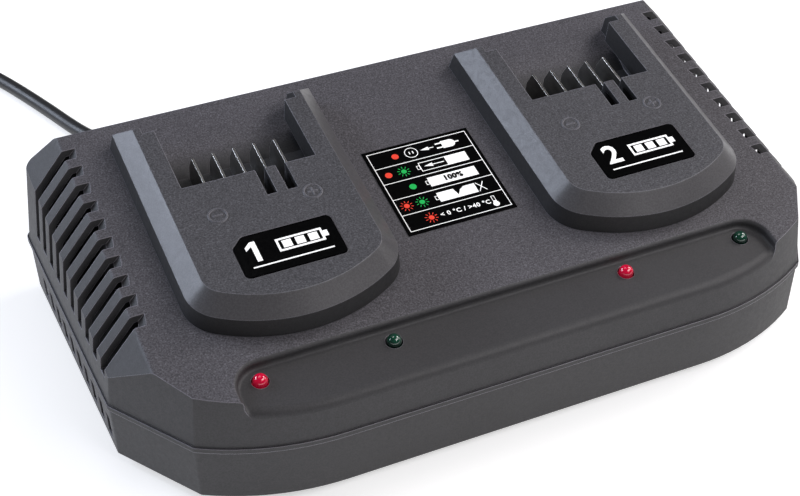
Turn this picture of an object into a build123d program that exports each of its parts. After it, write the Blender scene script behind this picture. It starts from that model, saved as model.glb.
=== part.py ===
"""Dual-bay charger for slide-on power tool batteries.

A low two-shell case with an inclined deck carries two raised docks.  A battery slides into each
dock from the back, between two overhanging rails, onto five upright contact blades.
Frame: X left to right, Y front to back, Z up, origin on the floor under the middle of the case.
"""
import os
from math import cos, pi, radians, sin, tan

from build123d import *

os.makedirs("parts", exist_ok=True)

# ---------------------------------------------------------------- case
LENGTH = 267.6  # upper shell at the parting plane, across its widest part at the back
SIDE_FLARE = 2.5  # each side stands this much further in at the cut corners
DEPTH = 146.0  # upper shell at the parting plane, front to back
WALL = 2.5
FOOT_HEIGHT = 2.5
LOWER_HEIGHT = 22.9  # bottom face to parting plane
FRONT_FLAT = 132.0  # straight middle of the front face
FRONT_SWEEP = 13.0  # how far the front face curves back at its ends
FACET_WIDTH = 19.2  # cut front corners, along X
FACET_DEPTH = 29.6  # cut front corners, along Y
FACET_ROUND = 0.3  # what the draft leaves of the front corners' rounding at the deck
REAR_ROUND = 5.0
UPPER_DRAFT = 6.5
LOWER_DRAFT = 1.5
BASE_BEVEL = 1.2
LEDGE = 0.6  # the lower shell stands proud of the upper one
LEDGE_HEIGHT = 1.8
LIP = 1.2  # tongue of the lower shell inside the upper one
LIP_HEIGHT = 1.8
FIT = 0.25  # running clearance between moulded pieces
CUT = 1.0  # how far a cutter runs past the face that it cuts

# ---------------------------------------------------------------- deck
DECK_TILT = 11.0  # degrees, the back is the higher side
DECK_HEIGHT = 55.4  # over the floor at the middle of the depth
DECK_MARGIN = 15.0  # from the widest part of the sides to the flat deck
DECK_BACK_MARGIN = 7.6
DECK_ROUND = 1.8
SLOPE_RUN = 11.2  # sloping sides, outward
SLOPE_DROP = 12.9  # sloping sides, downward
REAR_RUN = 2.4  # sloping back edge, outward
REAR_DROP = 8.1  # sloping back edge, downward
STRIP_DEPTH = 3.5  # lowered indicator strip along the front
STRIP_MARGIN = 37.3  # from the widest part of the sides
STRIP_REACH = 20.2  # from the front face back to the step
STRIP_ROUND = 9.0
STRIP_ROLL = 3.5  # rounding of the strip into the front face
STRIP_EDGE = 1.3  # rounding of the step, at its rim and its foot

# ---------------------------------------------------------------- vents
VENT_COUNT = 10
VENT_PITCH = 8.88
VENT_WIDTH = 4.7
VENT_MARGIN = 10.2  # from the back edge of the deck to the middle of the rearmost slot
VENT_REACH = 4.4  # how far the slots run onto the deck
VENT_BEVEL = 3.0
VENT_FLOOR = 33.8  # height where the slots end on the sides
LOW_VENT_BOTTOM = 7.2
LOW_VENT_TOP = 16.2

# ---------------------------------------------------------------- docks
DOCK_MARGIN = 16.0  # from the edge of the deck
RAIL_WALL = 9.4  # of the dock at the deck, outside the groove
DOCK_BACK = 53.6
DOCK_FRONT = -47.0
DOCK_CORNER_Y = -33.0  # where the sides would meet the front arc
DOCK_CORNER = 15.0
DOCK_WALL_HEIGHT = 7.0
DOCK_DRAFT = 8.0
DOCK_BEVEL = 5.8
CHANNEL_WIDTH = 47.6  # clear width between the overhanging rails
GROOVE_WIDTH = 56.0  # width under the overhangs
GROOVE_HEIGHT = 3.6
CHANNEL_FRONT = 14.4
OVERHANG_BACK = 43.9  # the overhangs start this far back, for an easy entry
POCKET_DEPTH = 3.5
POCKET_BACK = 33.7
POCKET_RAMP = 18.0  # rounded rise from the pocket floor to the deck
KEY_SLOT_WIDTH = 3.5
KEY_SLOT_FRONT = 2.2
KEY_SLOT_DEPTH = 9.0
MARK_DIAMETER = 6.5
MARK_LINE = 0.45
MARK_HEIGHT = 0.25
MARK_X = 16.6
MARK_Y = -1.4
PLATE_LENGTH = 34.6
PLATE_WIDTH = 17.5
PLATE_ROUND = 1.8
PLATE_CUT = 4.2  # cut corner at the back left
PLATE_THICKNESS = 0.8
PLATE_RECESS = 0.5
PLATE_X = 0.3
PLATE_Y = -21.9

# ---------------------------------------------------------------- contacts
BLADE_COUNT = 5
BLADE_PITCH = 7.35
BLADE_THICKNESS = 0.8
BLADE_TOP = 8.8  # over the deck plane
BLADE_TIP = 30.6
BLADE_HEEL = 33.2
BLADE_SHOULDER = 2.6
BLADE_ROUND = 1.0
SLIT_FIT = 0.1
BLADE_TAIL = 4.0  # front end, inside the terminal block
LUG_LENGTH = 5.0
LUG_WIDTH = 4.0
BLOCK_LENGTH = 40.0
BLOCK_DEPTH = 12.0
BLOCK_BELOW = 6.0  # how far the block reaches below the deck plane

# ---------------------------------------------------------------- labels and lamps
LABEL_MARGIN = 7.55  # to the docks on both sides
LABEL_LENGTH = 42.0
LABEL_THICKNESS = 0.3
LABEL_X = -0.8
LABEL_Y = 0.1
LED_DIAMETER = 5.0
LED_HOLE = 5.8
LED_FLANGE = 6.0
LED_FLANGE_HEIGHT = 1.0
LED_BODY = 3.7  # flange foot to the middle of the dome
LED_SETBACK = 5.3  # from the step of the strip
LED_OFFSET = 22.7  # each side of the dock's middle
LED_LEG = 3.0
LED_LEG_SIDE = 0.6
LED_LEG_PITCH = 2.54

# ---------------------------------------------------------------- boards and power parts
BOARD = 1.6
BOARD_SIDE_GAP = 10.0  # from the axis of the case screws
BOARD_CORE_GAP = 1.9
BOARD_BACK_GAP = 23.0  # from the back face of the case
BOARD_FRONT_GAP = 31.0
STANDOFF = 6.0
STANDOFF_DIAMETER = 7.0
STANDOFF_INSET = 6.0
LED_BOARD_END = 9.9  # past the outer lamps
LED_BOARD_WIDTH = 12.0
CORE_LENGTH = 57.0
CORE_DEPTH = 28.0
CORE_HEIGHT = 34.0
CORE_INSET = 51.8  # from the widest part of the side
CORE_Y = 2.0
CORE_LEG = 9.5
CORE_EAR = 7.6
WINDING_DEPTH = 42.0
SINK_END = 10.0  # from the ends of the board
SINK_MIDDLE = 24.0  # between the two
SINK_HEIGHT = 24.0
SINK_BASE = 3.0
SINK_FIN = 1.4
SINK_FINS = 6
SINK_DEPTH = 14.0
SINK_SETBACK = 16.0  # from the front edge of the board
TAB_WIDTH = 10.2
TAB_HEIGHT = 15.5
TAB_THICKNESS = 4.4
CAP_DIAMETER = 16.0
CAP_HEIGHT = 26.0
CAP_ROUND = 1.0
CAP_PITCH = 20.0
CAP_ASIDE = 20.0  # from the mains terminal to the first one
CAP_SETBACK = 20.0  # from the back edge of the board
RELAY_LENGTH = 19.0
RELAY_WIDTH = 15.5
RELAY_HEIGHT = 15.3
RELAY_EDGE = 0.6
RELAY_PITCH = 24.0
RELAY_INSET = 18.0  # from the right-hand edge of the board
RELAY_SETBACK = 18.0
CHIP_LENGTH = 20.0
CHIP_WIDTH = 7.6
CHIP_HEIGHT = 3.4
CHIP_PITCH = 26.0
CHIP_X = -10.0  # first one, from the middle of the board
CHIP_Y = -11.0
FUSE_DIAMETER = 5.2
FUSE_LENGTH = 20.0
FUSE_LIFT = 1.5  # over the board
FUSE_INSET = 10.0  # from the left-hand edge of the board
FUSE_SETBACK = 28.0
CLIP_WIDTH = 5.5
CLIP_WALL = 0.8
CLIP_FIT = 0.2
CLIP_FOOT = 1.0
TERMINAL_LENGTH = 15.0
TERMINAL_WIDTH = 9.0
TERMINAL_HEIGHT = 11.0
TERMINAL_SLOPE = 2.0
TERMINAL_SETBACK = 12.0

# ---------------------------------------------------------------- fasteners and feet
SCREW = 3.0
SCREW_HEAD = 5.6
SCREW_HEAD_HEIGHT = 2.2
SCREW_FIT = 0.05
SCREW_LENGTH = 25.0
PILOT_DEPTH = 14.0  # of the case screws, above the parting plane
BOSS = 8.0
BOSS_INSET = 27.8  # from the widest part of the sides
BOSS_BACK_INSET = 17.0
BOSS_FRONT_INSET = 31.0
SCREW_RECESS = 8.0
SMALL_BOSS = 5.4  # of the small screws
SMALL_SCREW = 2.5
SMALL_HEAD = 4.6
SMALL_HEAD_HEIGHT = 1.8
SMALL_SCREW_LENGTH = 6.0
CROSS_LENGTH = 0.6  # cross recess, as a share of the head's diameter
CROSS_WIDTH = 0.14
CROSS_DEPTH = 0.4  # as a share of the head's height
DOCK_SCREW_BACK = 38.0
DOCK_SCREW_FRONT = -32.5
DOCK_SCREW_FRONT_X = 22.0
DOCK_SCREW_DEPTH = 7.0
FOOT_DIAMETER = 13.0
FOOT_SEAT = 1.0
FOOT_EDGE = 0.6
FOOT_INSET = 21.8  # from the widest part of the sides
FOOT_BACK_INSET = 33.0
FOOT_FRONT_SIDE_INSET = 35.8
FOOT_FRONT_INSET = 21.0

# ---------------------------------------------------------------- mains cord
CORD = 6.0
CORD_X = -74.0
GLAND_FLANGE = 13.0  # collars on both sides of the wall
GLAND_GROOVE = 9.0
SLEEVE_LENGTH = 33.0
SLEEVE_START = 9.6
SLEEVE_END = 7.4
GLAND_COLLAR = 2.5  # outside the wall
GLAND_INNER_COLLAR = 2.0
BORE_FIT = 0.1
CLAMP_LENGTH = 26.0
CLAMP_WIDTH = 8.0
CLAMP_THICKNESS = 3.0
CLAMP_POST = 6.4
CLAMP_PILOT = 9.0  # depth of the screw holes in its posts
CLAMP_SCREW = 9.0  # length under the head
CLAMP_GAP = 12.0  # from the inside of the back wall to the clamp
WIRE = 1.8
LEAD_REACH = 4.0  # how far the mains leads run on before they bend
FLOOR_GAP = 0.05
PLUG_SETBACK = 56.0  # from the middle of the coil to the neck of the plug
COIL_X = -188.0
COIL_Y = 226.0
COIL_RADIUS = 33.0  # middle of the turns
COIL_ACROSS = 4  # turns side by side
COIL_LAYERS = 2
COIL_EDGE = 2.9
COIL_GAP = 0.3  # from the coil to the cord that runs past it
TIE_WIDTH = 7.0
TIE_THICKNESS = 1.4
TIE_ROUND = 2.0
TIE_FIT = 0.3
PLUG_LENGTH = 36.0
PLUG_WIDTH = 35.0
PLUG_NECK = 12.0
PLUG_GRIP = 14.4
GRIP_START = 10.8  # from the neck
GRIP_END = 21.6
PLUG_CORNER = 2.5
PLUG_EDGE = 1.5
PLUG_HEIGHT = 14.0
PIN_DIAMETER = 4.0
PIN_LENGTH = 19.0
PIN_TIP = 1.6
PIN_SPACING = 18.6

# ---------------------------------------------------------------- derived
BASE_Z = FOOT_HEIGHT
PARTING_Z = BASE_Z + LOWER_HEIGHT
HALF = LENGTH / 2
BACK = DEPTH / 2
TILT = radians(DECK_TILT)
DECK = Plane(origin=(0, 0, DECK_HEIGHT), x_dir=(1, 0, 0), z_dir=(0, -sin(TILT), cos(TILT)))
DECK_WIDTH = LENGTH - 2 * DECK_MARGIN
DECK_BACK = BACK - DECK_BACK_MARGIN  # along the deck, from the middle of the depth
STRIP_WIDTH = LENGTH - 2 * STRIP_MARGIN
STRIP_BACK = STRIP_REACH - BACK
VENT_BACK = DECK_BACK - VENT_MARGIN
VENT_INNER = DECK_WIDTH / 2 - VENT_REACH
DOCK_WIDTH = GROOVE_WIDTH + 2 * RAIL_WALL
DOCK_SPACING = DECK_WIDTH - DOCK_WIDTH - 2 * DOCK_MARGIN
LABEL_WIDTH = DOCK_SPACING - DOCK_WIDTH - 2 * LABEL_MARGIN
LED_Y = STRIP_BACK - LED_SETBACK
LED_BOARD_LENGTH = DOCK_SPACING + 2 * (LED_OFFSET + LED_BOARD_END)
BOSS_X = HALF - BOSS_INSET
CORE_X = HALF - CORE_INSET
PAD_HEIGHT = DOCK_WALL_HEIGHT + DOCK_BEVEL
BOARD_Z = BASE_Z + WALL + STANDOFF
BOARD_TOP = BOARD_Z + BOARD
BOARD_LEFT = BOARD_SIDE_GAP - BOSS_X
BOARD_RIGHT = CORE_X - CORE_LENGTH / 2 - CORE_EAR - BOARD_CORE_GAP
BOARD_BACK = BACK - BOARD_BACK_GAP
BOARD_FRONT = BOARD_FRONT_GAP - BACK
MAIN_BOARD_LENGTH = BOARD_RIGHT - BOARD_LEFT
MAIN_BOARD_WIDTH = BOARD_BACK - BOARD_FRONT
MAIN_BOARD_X = (BOARD_LEFT + BOARD_RIGHT) / 2
MAIN_BOARD_Y = (BOARD_BACK + BOARD_FRONT) / 2
SINK_LENGTH = (MAIN_BOARD_LENGTH - SINK_MIDDLE) / 2 - SINK_END
SINK_X = (SINK_MIDDLE + SINK_LENGTH) / 2
SINK_Y = BOARD_FRONT + SINK_SETBACK
COIL_WIDTH = COIL_ACROSS * CORD
COIL_HEIGHT = COIL_LAYERS * CORD
GLAND_Z = PARTING_Z


def deck_z(y, below=0.0):
    """Height of the deck plane over the floor at a depth y, less a skin measured square to it."""
    return DECK_HEIGHT + y * tan(TILT) - below / cos(TILT)


def dock_plane(side, height=0.0):
    """Deck-level work plane in the middle of a dock, raised by height."""
    return Plane(DECK.from_local_coords((side * DOCK_SPACING / 2, 0, height)),
                 x_dir=DECK.x_dir, z_dir=DECK.z_dir)


def profile_plane(x):
    """Upright plane across X, whose axes run back along the deck and square to it."""
    return Plane(DECK.from_local_coords((x, 0, 0)), x_dir=DECK.y_dir, z_dir=(1, 0, 0))


def case_outline(grow=0.0, inside=False):
    """Plan of the case at the parting plane, its edge moved outward by grow.

    The draft takes some of the front corners' rounding off on the way up to the deck, and their
    inside is left sharp.
    """
    flat_end = (FRONT_FLAT / 2, -BACK)
    corner_x = HALF - SIDE_FLARE
    sweep_end = (corner_x - FACET_WIDTH, -BACK + FRONT_SWEEP)
    facet_end = (corner_x, sweep_end[1] + FACET_DEPTH)
    with BuildSketch() as plan:
        with BuildLine():
            Line((0, -BACK), flat_end)
            TangentArc(flat_end, sweep_end, tangent=(1, 0))
            Polyline(sweep_end, facet_end, (HALF, BACK), (0, BACK))
            mirror(about=Plane.YZ)
        make_face()
        if grow:
            offset(amount=grow, kind=Kind.INTERSECTION)
        corners = plan.vertices().filter_by(lambda v: abs(v.X) > sweep_end[0] - WALL - LIP - FIT)
        fillet(corners.filter_by(lambda v: v.Y > 0), radius=REAR_ROUND)
        if not inside:
            draft_loss = (deck_z(sweep_end[1]) - PARTING_Z) * tan(radians(UPPER_DRAFT))
            corners = plan.vertices().filter_by(lambda v: abs(v.X) > sweep_end[0] - WALL)
            fillet(corners.filter_by(lambda v: v.Y < facet_end[1] + WALL), radius=FACET_ROUND + draft_loss)
    return plan.sketch


def strip_outline(grow=0.0):
    """Plan of the indicator strip, which runs out over the front face."""
    front = -DEPTH
    with BuildSketch() as plan:
        with Locations((0, (STRIP_BACK + grow + front) / 2)):
            Rectangle(STRIP_WIDTH + 2 * grow, STRIP_BACK + grow - front)
        fillet(plan.vertices().group_by(Axis.Y)[-1], radius=STRIP_ROUND + grow)
    return plan.sketch


def strip_edges(form, level, front, back):
    """Edges round the indicator strip at a level over the deck, between two depths."""
    chosen = ShapeList()
    for edge in form.edges():
        middle = DECK.to_local_coords(edge.center())
        beside = abs(middle.X) > (STRIP_WIDTH + STRIP_EDGE) / 2
        if front < middle.Y < back and abs(middle.Z - level) < FIT and not beside:
            chosen.append(edge)
    return chosen


def upper_form(inset=0.0):
    """The upper shell as a full block, its skin moved inward by inset."""
    with BuildPart() as form:
        with BuildSketch(Plane.XY.offset(PARTING_Z)):
            add(case_outline(-inset, inside=inset > 0))
        extrude(amount=DECK_HEIGHT, taper=UPPER_DRAFT)
        split(bisect_by=DECK.offset(-inset), keep=Keep.BOTTOM)
        for side in (-1, 1):
            slope = Plane(DECK.from_local_coords((side * DECK_WIDTH / 2, 0, 0)), x_dir=DECK.y_dir,
                          z_dir=DECK.x_dir * side * SLOPE_DROP + DECK.z_dir * SLOPE_RUN)
            split(bisect_by=slope.offset(-inset), keep=Keep.BOTTOM)
        rear = Plane(DECK.from_local_coords((0, DECK_BACK, 0)), x_dir=DECK.x_dir,
                     z_dir=DECK.y_dir * REAR_DROP + DECK.z_dir * REAR_RUN)
        split(bisect_by=rear.offset(-inset), keep=Keep.BOTTOM)
        if not inset:
            rim = form.faces().sort_by(Axis(DECK.origin, DECK.z_dir))[-1].edges().filter_by(GeomType.LINE)
            sides = rim.filter_by(Axis(DECK.origin, DECK.y_dir))
            fillet(sides + rim.filter_by(Axis.X).sort_by(Axis.Y)[-1:], radius=DECK_ROUND)
        with BuildSketch(DECK.offset(-STRIP_DEPTH - inset)):
            add(strip_outline(inset))
        extrude(amount=DECK_HEIGHT, mode=Mode.SUBTRACT)
        if not inset:
            # the strip rolls over into the front face, and its step is soft at the foot and the rim
            front = STRIP_BACK - STRIP_ROUND - STRIP_ROLL
            fillet(strip_edges(form, -STRIP_DEPTH, -DEPTH, front), radius=STRIP_ROLL)
            for level in (-STRIP_DEPTH, 0):
                fillet(strip_edges(form, level, front, STRIP_BACK + STRIP_EDGE), radius=STRIP_EDGE)
    return form.part


def vent_stations():
    """Depths of the vent slots, back to front."""
    return [(VENT_BACK - i * VENT_PITCH) * cos(TILT) for i in range(VENT_COUNT)]


def boss_points():
    """Case screws: two behind and two in front."""
    return [(s * BOSS_X, y) for s in (-1, 1) for y in (BACK - BOSS_BACK_INSET, BOSS_FRONT_INSET - BACK)]


def foot_points():
    """Feet: the front pair stands closer together, inside the cut corners."""
    back = (HALF - FOOT_INSET, BACK - FOOT_BACK_INSET)
    front = (HALF - FOOT_FRONT_SIDE_INSET, FOOT_FRONT_INSET - BACK)
    return [(s * x, y) for s in (-1, 1) for x, y in (back, front)]


def board_screw_points():
    """Corners of the main board."""
    half_x = MAIN_BOARD_LENGTH / 2 - STANDOFF_INSET
    half_y = MAIN_BOARD_WIDTH / 2 - STANDOFF_INSET
    return [(MAIN_BOARD_X + a * half_x, MAIN_BOARD_Y + b * half_y) for a in (-1, 1) for b in (-1, 1)]


def core_screw_points():
    """Screws beside the transformer, through its mounting ears."""
    return [(CORE_X + s * (CORE_LENGTH / 2 + CORE_EAR / 2), CORE_Y) for s in (-1, 1)]


def clamp_screw_points():
    """Posts each side of the cord, inside the back wall."""
    y = BACK - WALL - CLAMP_GAP
    return [(CORD_X + s * (CLAMP_LENGTH - CLAMP_POST) / 2, y) for s in (-1, 1)]


def lamp_board_screws():
    """Screws of the lamp board, into posts under the strip."""
    return [(step * DOCK_SPACING / 2, LED_Y) for step in (-1, 0, 1)]


def dock_screw_points():
    """Screws that hold a dock from below: two in the rails, two in the front."""
    rail = GROOVE_WIDTH / 2 + WALL + FIT + SMALL_HEAD / 2  # clear of the pocket's wall
    return [(s * rail, DOCK_SCREW_BACK) for s in (-1, 1)] + [
        (s * DOCK_SCREW_FRONT_X, DOCK_SCREW_FRONT) for s in (-1, 1)]


def blade_offsets():
    """Contact blades across a dock, from its middle."""
    return [(i - (BLADE_COUNT - 1) / 2) * BLADE_PITCH for i in range(BLADE_COUNT)]


def key_slot_offsets():
    """The two key slots lie between the last three contacts."""
    return [BLADE_PITCH / 2, BLADE_PITCH * 3 / 2]


def blade_slits(side):
    """Cutter for the slits that the blades pass through."""
    with BuildPart() as cutter:
        for x in blade_offsets():
            with BuildSketch(profile_plane(side * DOCK_SPACING / 2 + x)):
                with Locations((CHANNEL_FRONT, (BLADE_TOP - POCKET_DEPTH) / 2)):
                    Rectangle(4 * WALL, BLADE_TOP + POCKET_DEPTH + SLIT_FIT)
            extrude(amount=BLADE_THICKNESS / 2 + SLIT_FIT, both=True)
    return cutter.part


def led_points():
    """Indicator lamps along the deck, left to right."""
    return [(dock * DOCK_SPACING / 2 + s * LED_OFFSET, LED_Y) for dock in (-1, 1) for s in (-1, 1)]


def export(builder, name):
    """Label a finished piece and write its STEP file."""
    builder.part.label = name
    export_step(builder.part, f"parts/{name}.step")


# ================================================================ upper housing
outer_form = upper_form()
inner_form = upper_form(WALL)
with BuildPart() as upper_housing:
    add(outer_form)
    add(inner_form, mode=Mode.SUBTRACT)
    for side in (-1, 1):
        # pocket under the battery contacts, with its own floor
        tub_front = CHANNEL_FRONT - WALL
        tub_length = POCKET_BACK + POCKET_RAMP - tub_front
        with BuildSketch(dock_plane(side, -WALL / 2)):
            with Locations((0, tub_front + tub_length / 2)):
                Rectangle(GROOVE_WIDTH + 2 * WALL, tub_length)
        extrude(amount=-(POCKET_DEPTH + WALL / 2))
        with BuildSketch(profile_plane(side * DOCK_SPACING / 2)):
            with BuildLine():
                Polyline((POCKET_BACK, -POCKET_DEPTH), (CHANNEL_FRONT, -POCKET_DEPTH), (CHANNEL_FRONT, CUT),
                         (POCKET_BACK + POCKET_RAMP, CUT), (POCKET_BACK + POCKET_RAMP, 0))
                TangentArc((POCKET_BACK + POCKET_RAMP, 0), (POCKET_BACK, -POCKET_DEPTH), tangent=(-1, 0))
            make_face()
        extrude(amount=GROOVE_WIDTH / 2, both=True, mode=Mode.SUBTRACT)
        # way through the deck for the terminal block
        with BuildSketch(dock_plane(side, -WALL - CUT)):
            with Locations((0, tub_front - FIT - BLOCK_DEPTH / 2)):
                Rectangle(BLOCK_LENGTH + 2 * FIT, BLOCK_DEPTH + 2 * FIT)
        extrude(amount=WALL + 2 * CUT, mode=Mode.SUBTRACT)
        # screws of the dock
        with Locations(dock_plane(side, -WALL - CUT)):
            with Locations(*dock_screw_points()):
                Cylinder(SMALL_SCREW / 2 + FIT, WALL + 2 * CUT, align=(Align.CENTER, Align.CENTER, Align.MIN),
                         mode=Mode.SUBTRACT)
    # lamp holes
    with Locations(DECK.offset(-STRIP_DEPTH - WALL - CUT)):
        with Locations(*led_points()):
            Cylinder(LED_HOLE / 2, WALL + 2 * CUT, align=(Align.CENTER, Align.CENTER, Align.MIN),
                     mode=Mode.SUBTRACT)
    # vents that run over the deck's edge and down the sides
    for y in vent_stations():
        top = deck_z(y)
        for side in (-1, 1):
            with BuildSketch(Plane(origin=(0, y, 0), x_dir=(1, 0, 0), z_dir=(0, -1, 0))):
                Polygon(
                    (side * (VENT_INNER - VENT_BEVEL), top + VENT_BEVEL),
                    (side * (VENT_INNER + VENT_BEVEL), top - VENT_BEVEL),
                    (side * (VENT_INNER + VENT_BEVEL), VENT_FLOOR),
                    (side * LENGTH, VENT_FLOOR),
                    (side * LENGTH, top + VENT_BEVEL), align=None)
            extrude(amount=VENT_WIDTH / 2, both=True, mode=Mode.SUBTRACT)
    # screw bosses
    for x, y in boss_points():
        height = deck_z(y, WALL / 2) - PARTING_Z
        with Locations((x, y, PARTING_Z)):
            Cylinder(BOSS / 2, height, align=(Align.CENTER, Align.CENTER, Align.MIN))
    add(outer_form, mode=Mode.INTERSECT)
    for x, y in boss_points():
        with Locations((x, y, PARTING_Z)):
            Cylinder(SCREW / 2 + SCREW_FIT, PILOT_DEPTH, align=(Align.CENTER, Align.CENTER, Align.MIN),
                     mode=Mode.SUBTRACT)
    # posts for the lamp board
    with BuildSketch(DECK.offset(-STRIP_DEPTH - WALL / 2)):
        with Locations(*lamp_board_screws()):
            Circle(SMALL_BOSS / 2)
    extrude(amount=-(WALL / 2 + LED_FLANGE_HEIGHT + LED_LEG))
    with BuildSketch(DECK.offset(-STRIP_DEPTH - WALL)):
        with Locations(*lamp_board_screws()):
            Circle(SMALL_SCREW / 2 + SCREW_FIT)
    extrude(amount=-(LED_FLANGE_HEIGHT + LED_LEG), mode=Mode.SUBTRACT)
    # slits in the pocket walls
    for side in (-1, 1):
        add(blade_slits(side), mode=Mode.SUBTRACT)
    # seat of the cord's gland
    with BuildSketch(Plane(origin=(CORD_X, BACK, GLAND_Z), x_dir=(1, 0, 0), z_dir=(0, -1, 0))):
        Circle(GLAND_GROOVE / 2 + FIT)
    extrude(amount=4 * WALL, both=True, mode=Mode.SUBTRACT)
export(upper_housing, "upper_housing")

# ================================================================ lower housing
with BuildPart() as lower_housing:
    with BuildSketch(Plane.XY.offset(PARTING_Z - LEDGE_HEIGHT)):
        add(case_outline())
    skirt = LOWER_HEIGHT - LEDGE_HEIGHT - BASE_BEVEL
    extrude(amount=-skirt, taper=LOWER_DRAFT)
    with BuildSketch(Plane.XY.offset(BASE_Z + BASE_BEVEL)):
        add(case_outline(-skirt * tan(radians(LOWER_DRAFT))))
    extrude(amount=-BASE_BEVEL, taper=45)
    with BuildSketch(Plane.XY.offset(PARTING_Z - LEDGE_HEIGHT)):
        add(case_outline(LEDGE))
    extrude(amount=LEDGE_HEIGHT)
    with BuildSketch(Plane.XY.offset(PARTING_Z)):
        add(case_outline(-WALL, inside=True))
    extrude(amount=-(LOWER_HEIGHT - WALL), taper=LOWER_DRAFT, mode=Mode.SUBTRACT)
    # tongue that enters the upper shell
    with BuildSketch(Plane.XY.offset(PARTING_Z - 2 * LIP_HEIGHT)):
        add(case_outline(-WALL + FIT, inside=True))
        add(case_outline(-WALL - FIT - LIP, inside=True), mode=Mode.SUBTRACT)
    extrude(amount=2 * LIP_HEIGHT)
    with BuildSketch(Plane.XY.offset(PARTING_Z)):
        add(case_outline(-WALL - FIT, inside=True))
        add(case_outline(-WALL - FIT - LIP, inside=True), mode=Mode.SUBTRACT)
    extrude(amount=LIP_HEIGHT)
    # vents in the sides
    for y in vent_stations():
        with BuildSketch(Plane(origin=(0, y, 0), x_dir=(1, 0, 0), z_dir=(0, -1, 0))):
            with Locations((0, (LOW_VENT_TOP + LOW_VENT_BOTTOM) / 2)):
                Rectangle(2 * LENGTH, LOW_VENT_TOP - LOW_VENT_BOTTOM)
        extrude(amount=VENT_WIDTH / 2, both=True, mode=Mode.SUBTRACT)
    # bosses of the case screws, bored from below
    with BuildSketch(Plane.XY.offset(BASE_Z + WALL / 2)):
        with Locations(*boss_points()):
            Circle(BOSS / 2 + WALL / 2)
    extrude(amount=PARTING_Z - BASE_Z - WALL / 2)
    with Locations(*[(x, y, BASE_Z) for x, y in boss_points()]):
        Cylinder(SCREW_HEAD / 2 + FIT, SCREW_RECESS, align=(Align.CENTER, Align.CENTER, Align.MIN),
                 mode=Mode.SUBTRACT)
        Cylinder(SCREW / 2 + FIT, LOWER_HEIGHT, align=(Align.CENTER, Align.CENTER, Align.MIN),
                 mode=Mode.SUBTRACT)
    # standoffs of the main board
    with BuildSketch(Plane.XY.offset(BASE_Z + WALL / 2)):
        with Locations(*board_screw_points()):
            Circle(STANDOFF_DIAMETER / 2)
    extrude(amount=STANDOFF + WALL / 2)
    with BuildSketch(Plane.XY.offset(BOARD_Z)):
        with Locations(*board_screw_points()):
            Circle(SMALL_SCREW / 2 + SCREW_FIT)
    extrude(amount=-SMALL_SCREW_LENGTH, mode=Mode.SUBTRACT)
    # raised seat of the transformer
    with BuildSketch(Plane.XY.offset(BASE_Z + WALL / 2)):
        with Locations((CORE_X, CORE_Y)):
            Rectangle(CORE_LENGTH + 4 * WALL, CORE_DEPTH + 2 * WALL)
    extrude(amount=WALL)
    with Locations(*[(x, y, BASE_Z + 3 * WALL / 2) for x, y in core_screw_points()]):
        Cylinder(SCREW / 2 + SCREW_FIT, 2 * WALL / 3, align=(Align.CENTER, Align.CENTER, Align.MAX),
                 mode=Mode.SUBTRACT)
    # posts and seat of the cord's gland and clamp
    with BuildSketch(Plane.XY.offset(BASE_Z + WALL / 2)):
        with Locations((CORD_X, BACK - WALL - CLAMP_GAP)):
            Rectangle(CLAMP_LENGTH, CLAMP_WIDTH)
    extrude(amount=GLAND_Z - CORD / 2 - BASE_Z - WALL / 2)
    with BuildSketch(Plane.XY.offset(GLAND_Z - CORD / 2)):
        with Locations(*clamp_screw_points()):
            Rectangle(CLAMP_POST, CLAMP_WIDTH)
    extrude(amount=CORD)
    with Locations(*[(x, y, GLAND_Z + CORD / 2) for x, y in clamp_screw_points()]):
        Cylinder(SCREW / 2 + SCREW_FIT, CLAMP_PILOT, align=(Align.CENTER, Align.CENTER, Align.MAX),
                 mode=Mode.SUBTRACT)
    with BuildSketch(Plane(origin=(CORD_X, BACK, GLAND_Z), x_dir=(1, 0, 0), z_dir=(0, -1, 0))):
        Circle(GLAND_GROOVE / 2 + FIT)
    extrude(amount=4 * WALL, both=True, mode=Mode.SUBTRACT)
    # seats of the feet
    with Locations(*[(x, y, BASE_Z) for x, y in foot_points()]):
        Cylinder(FOOT_DIAMETER / 2 + FIT / 2, FOOT_SEAT, align=(Align.CENTER, Align.CENTER, Align.MIN),
                 mode=Mode.SUBTRACT)
export(lower_housing, "lower_housing")


# ================================================================ docks
def dock_outline(inset=0.0):
    """Plan of a dock: straight sides, rounded front corners and a shallow front arc."""
    half = DOCK_WIDTH / 2
    with BuildSketch() as plan:
        with BuildLine():
            ThreePointArc((-half, DOCK_CORNER_Y), (0, DOCK_FRONT), (half, DOCK_CORNER_Y))
            Line((half, DOCK_CORNER_Y), (half, DOCK_BACK))
            Line((half, DOCK_BACK), (-half, DOCK_BACK))
            Line((-half, DOCK_BACK), (-half, DOCK_CORNER_Y))
        make_face()
        fillet(plan.vertices().group_by(Axis.Y)[0], radius=DOCK_CORNER)
        if inset:
            offset(amount=-inset, kind=Kind.INTERSECTION)
    return plan.sketch


def dock_form(base, inset=0.0):
    """A dock as a full block on its plane, its skin moved inward by inset."""
    lean = DOCK_WALL_HEIGHT * tan(radians(DOCK_DRAFT))
    with BuildPart() as form:
        with BuildSketch(base):
            add(dock_outline(inset))
        extrude(amount=DOCK_WALL_HEIGHT, taper=DOCK_DRAFT)
        with BuildSketch(base.offset(DOCK_WALL_HEIGHT)):
            add(dock_outline(inset + lean))
        extrude(amount=DOCK_BEVEL - inset, taper=45)
    return form.part


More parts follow.
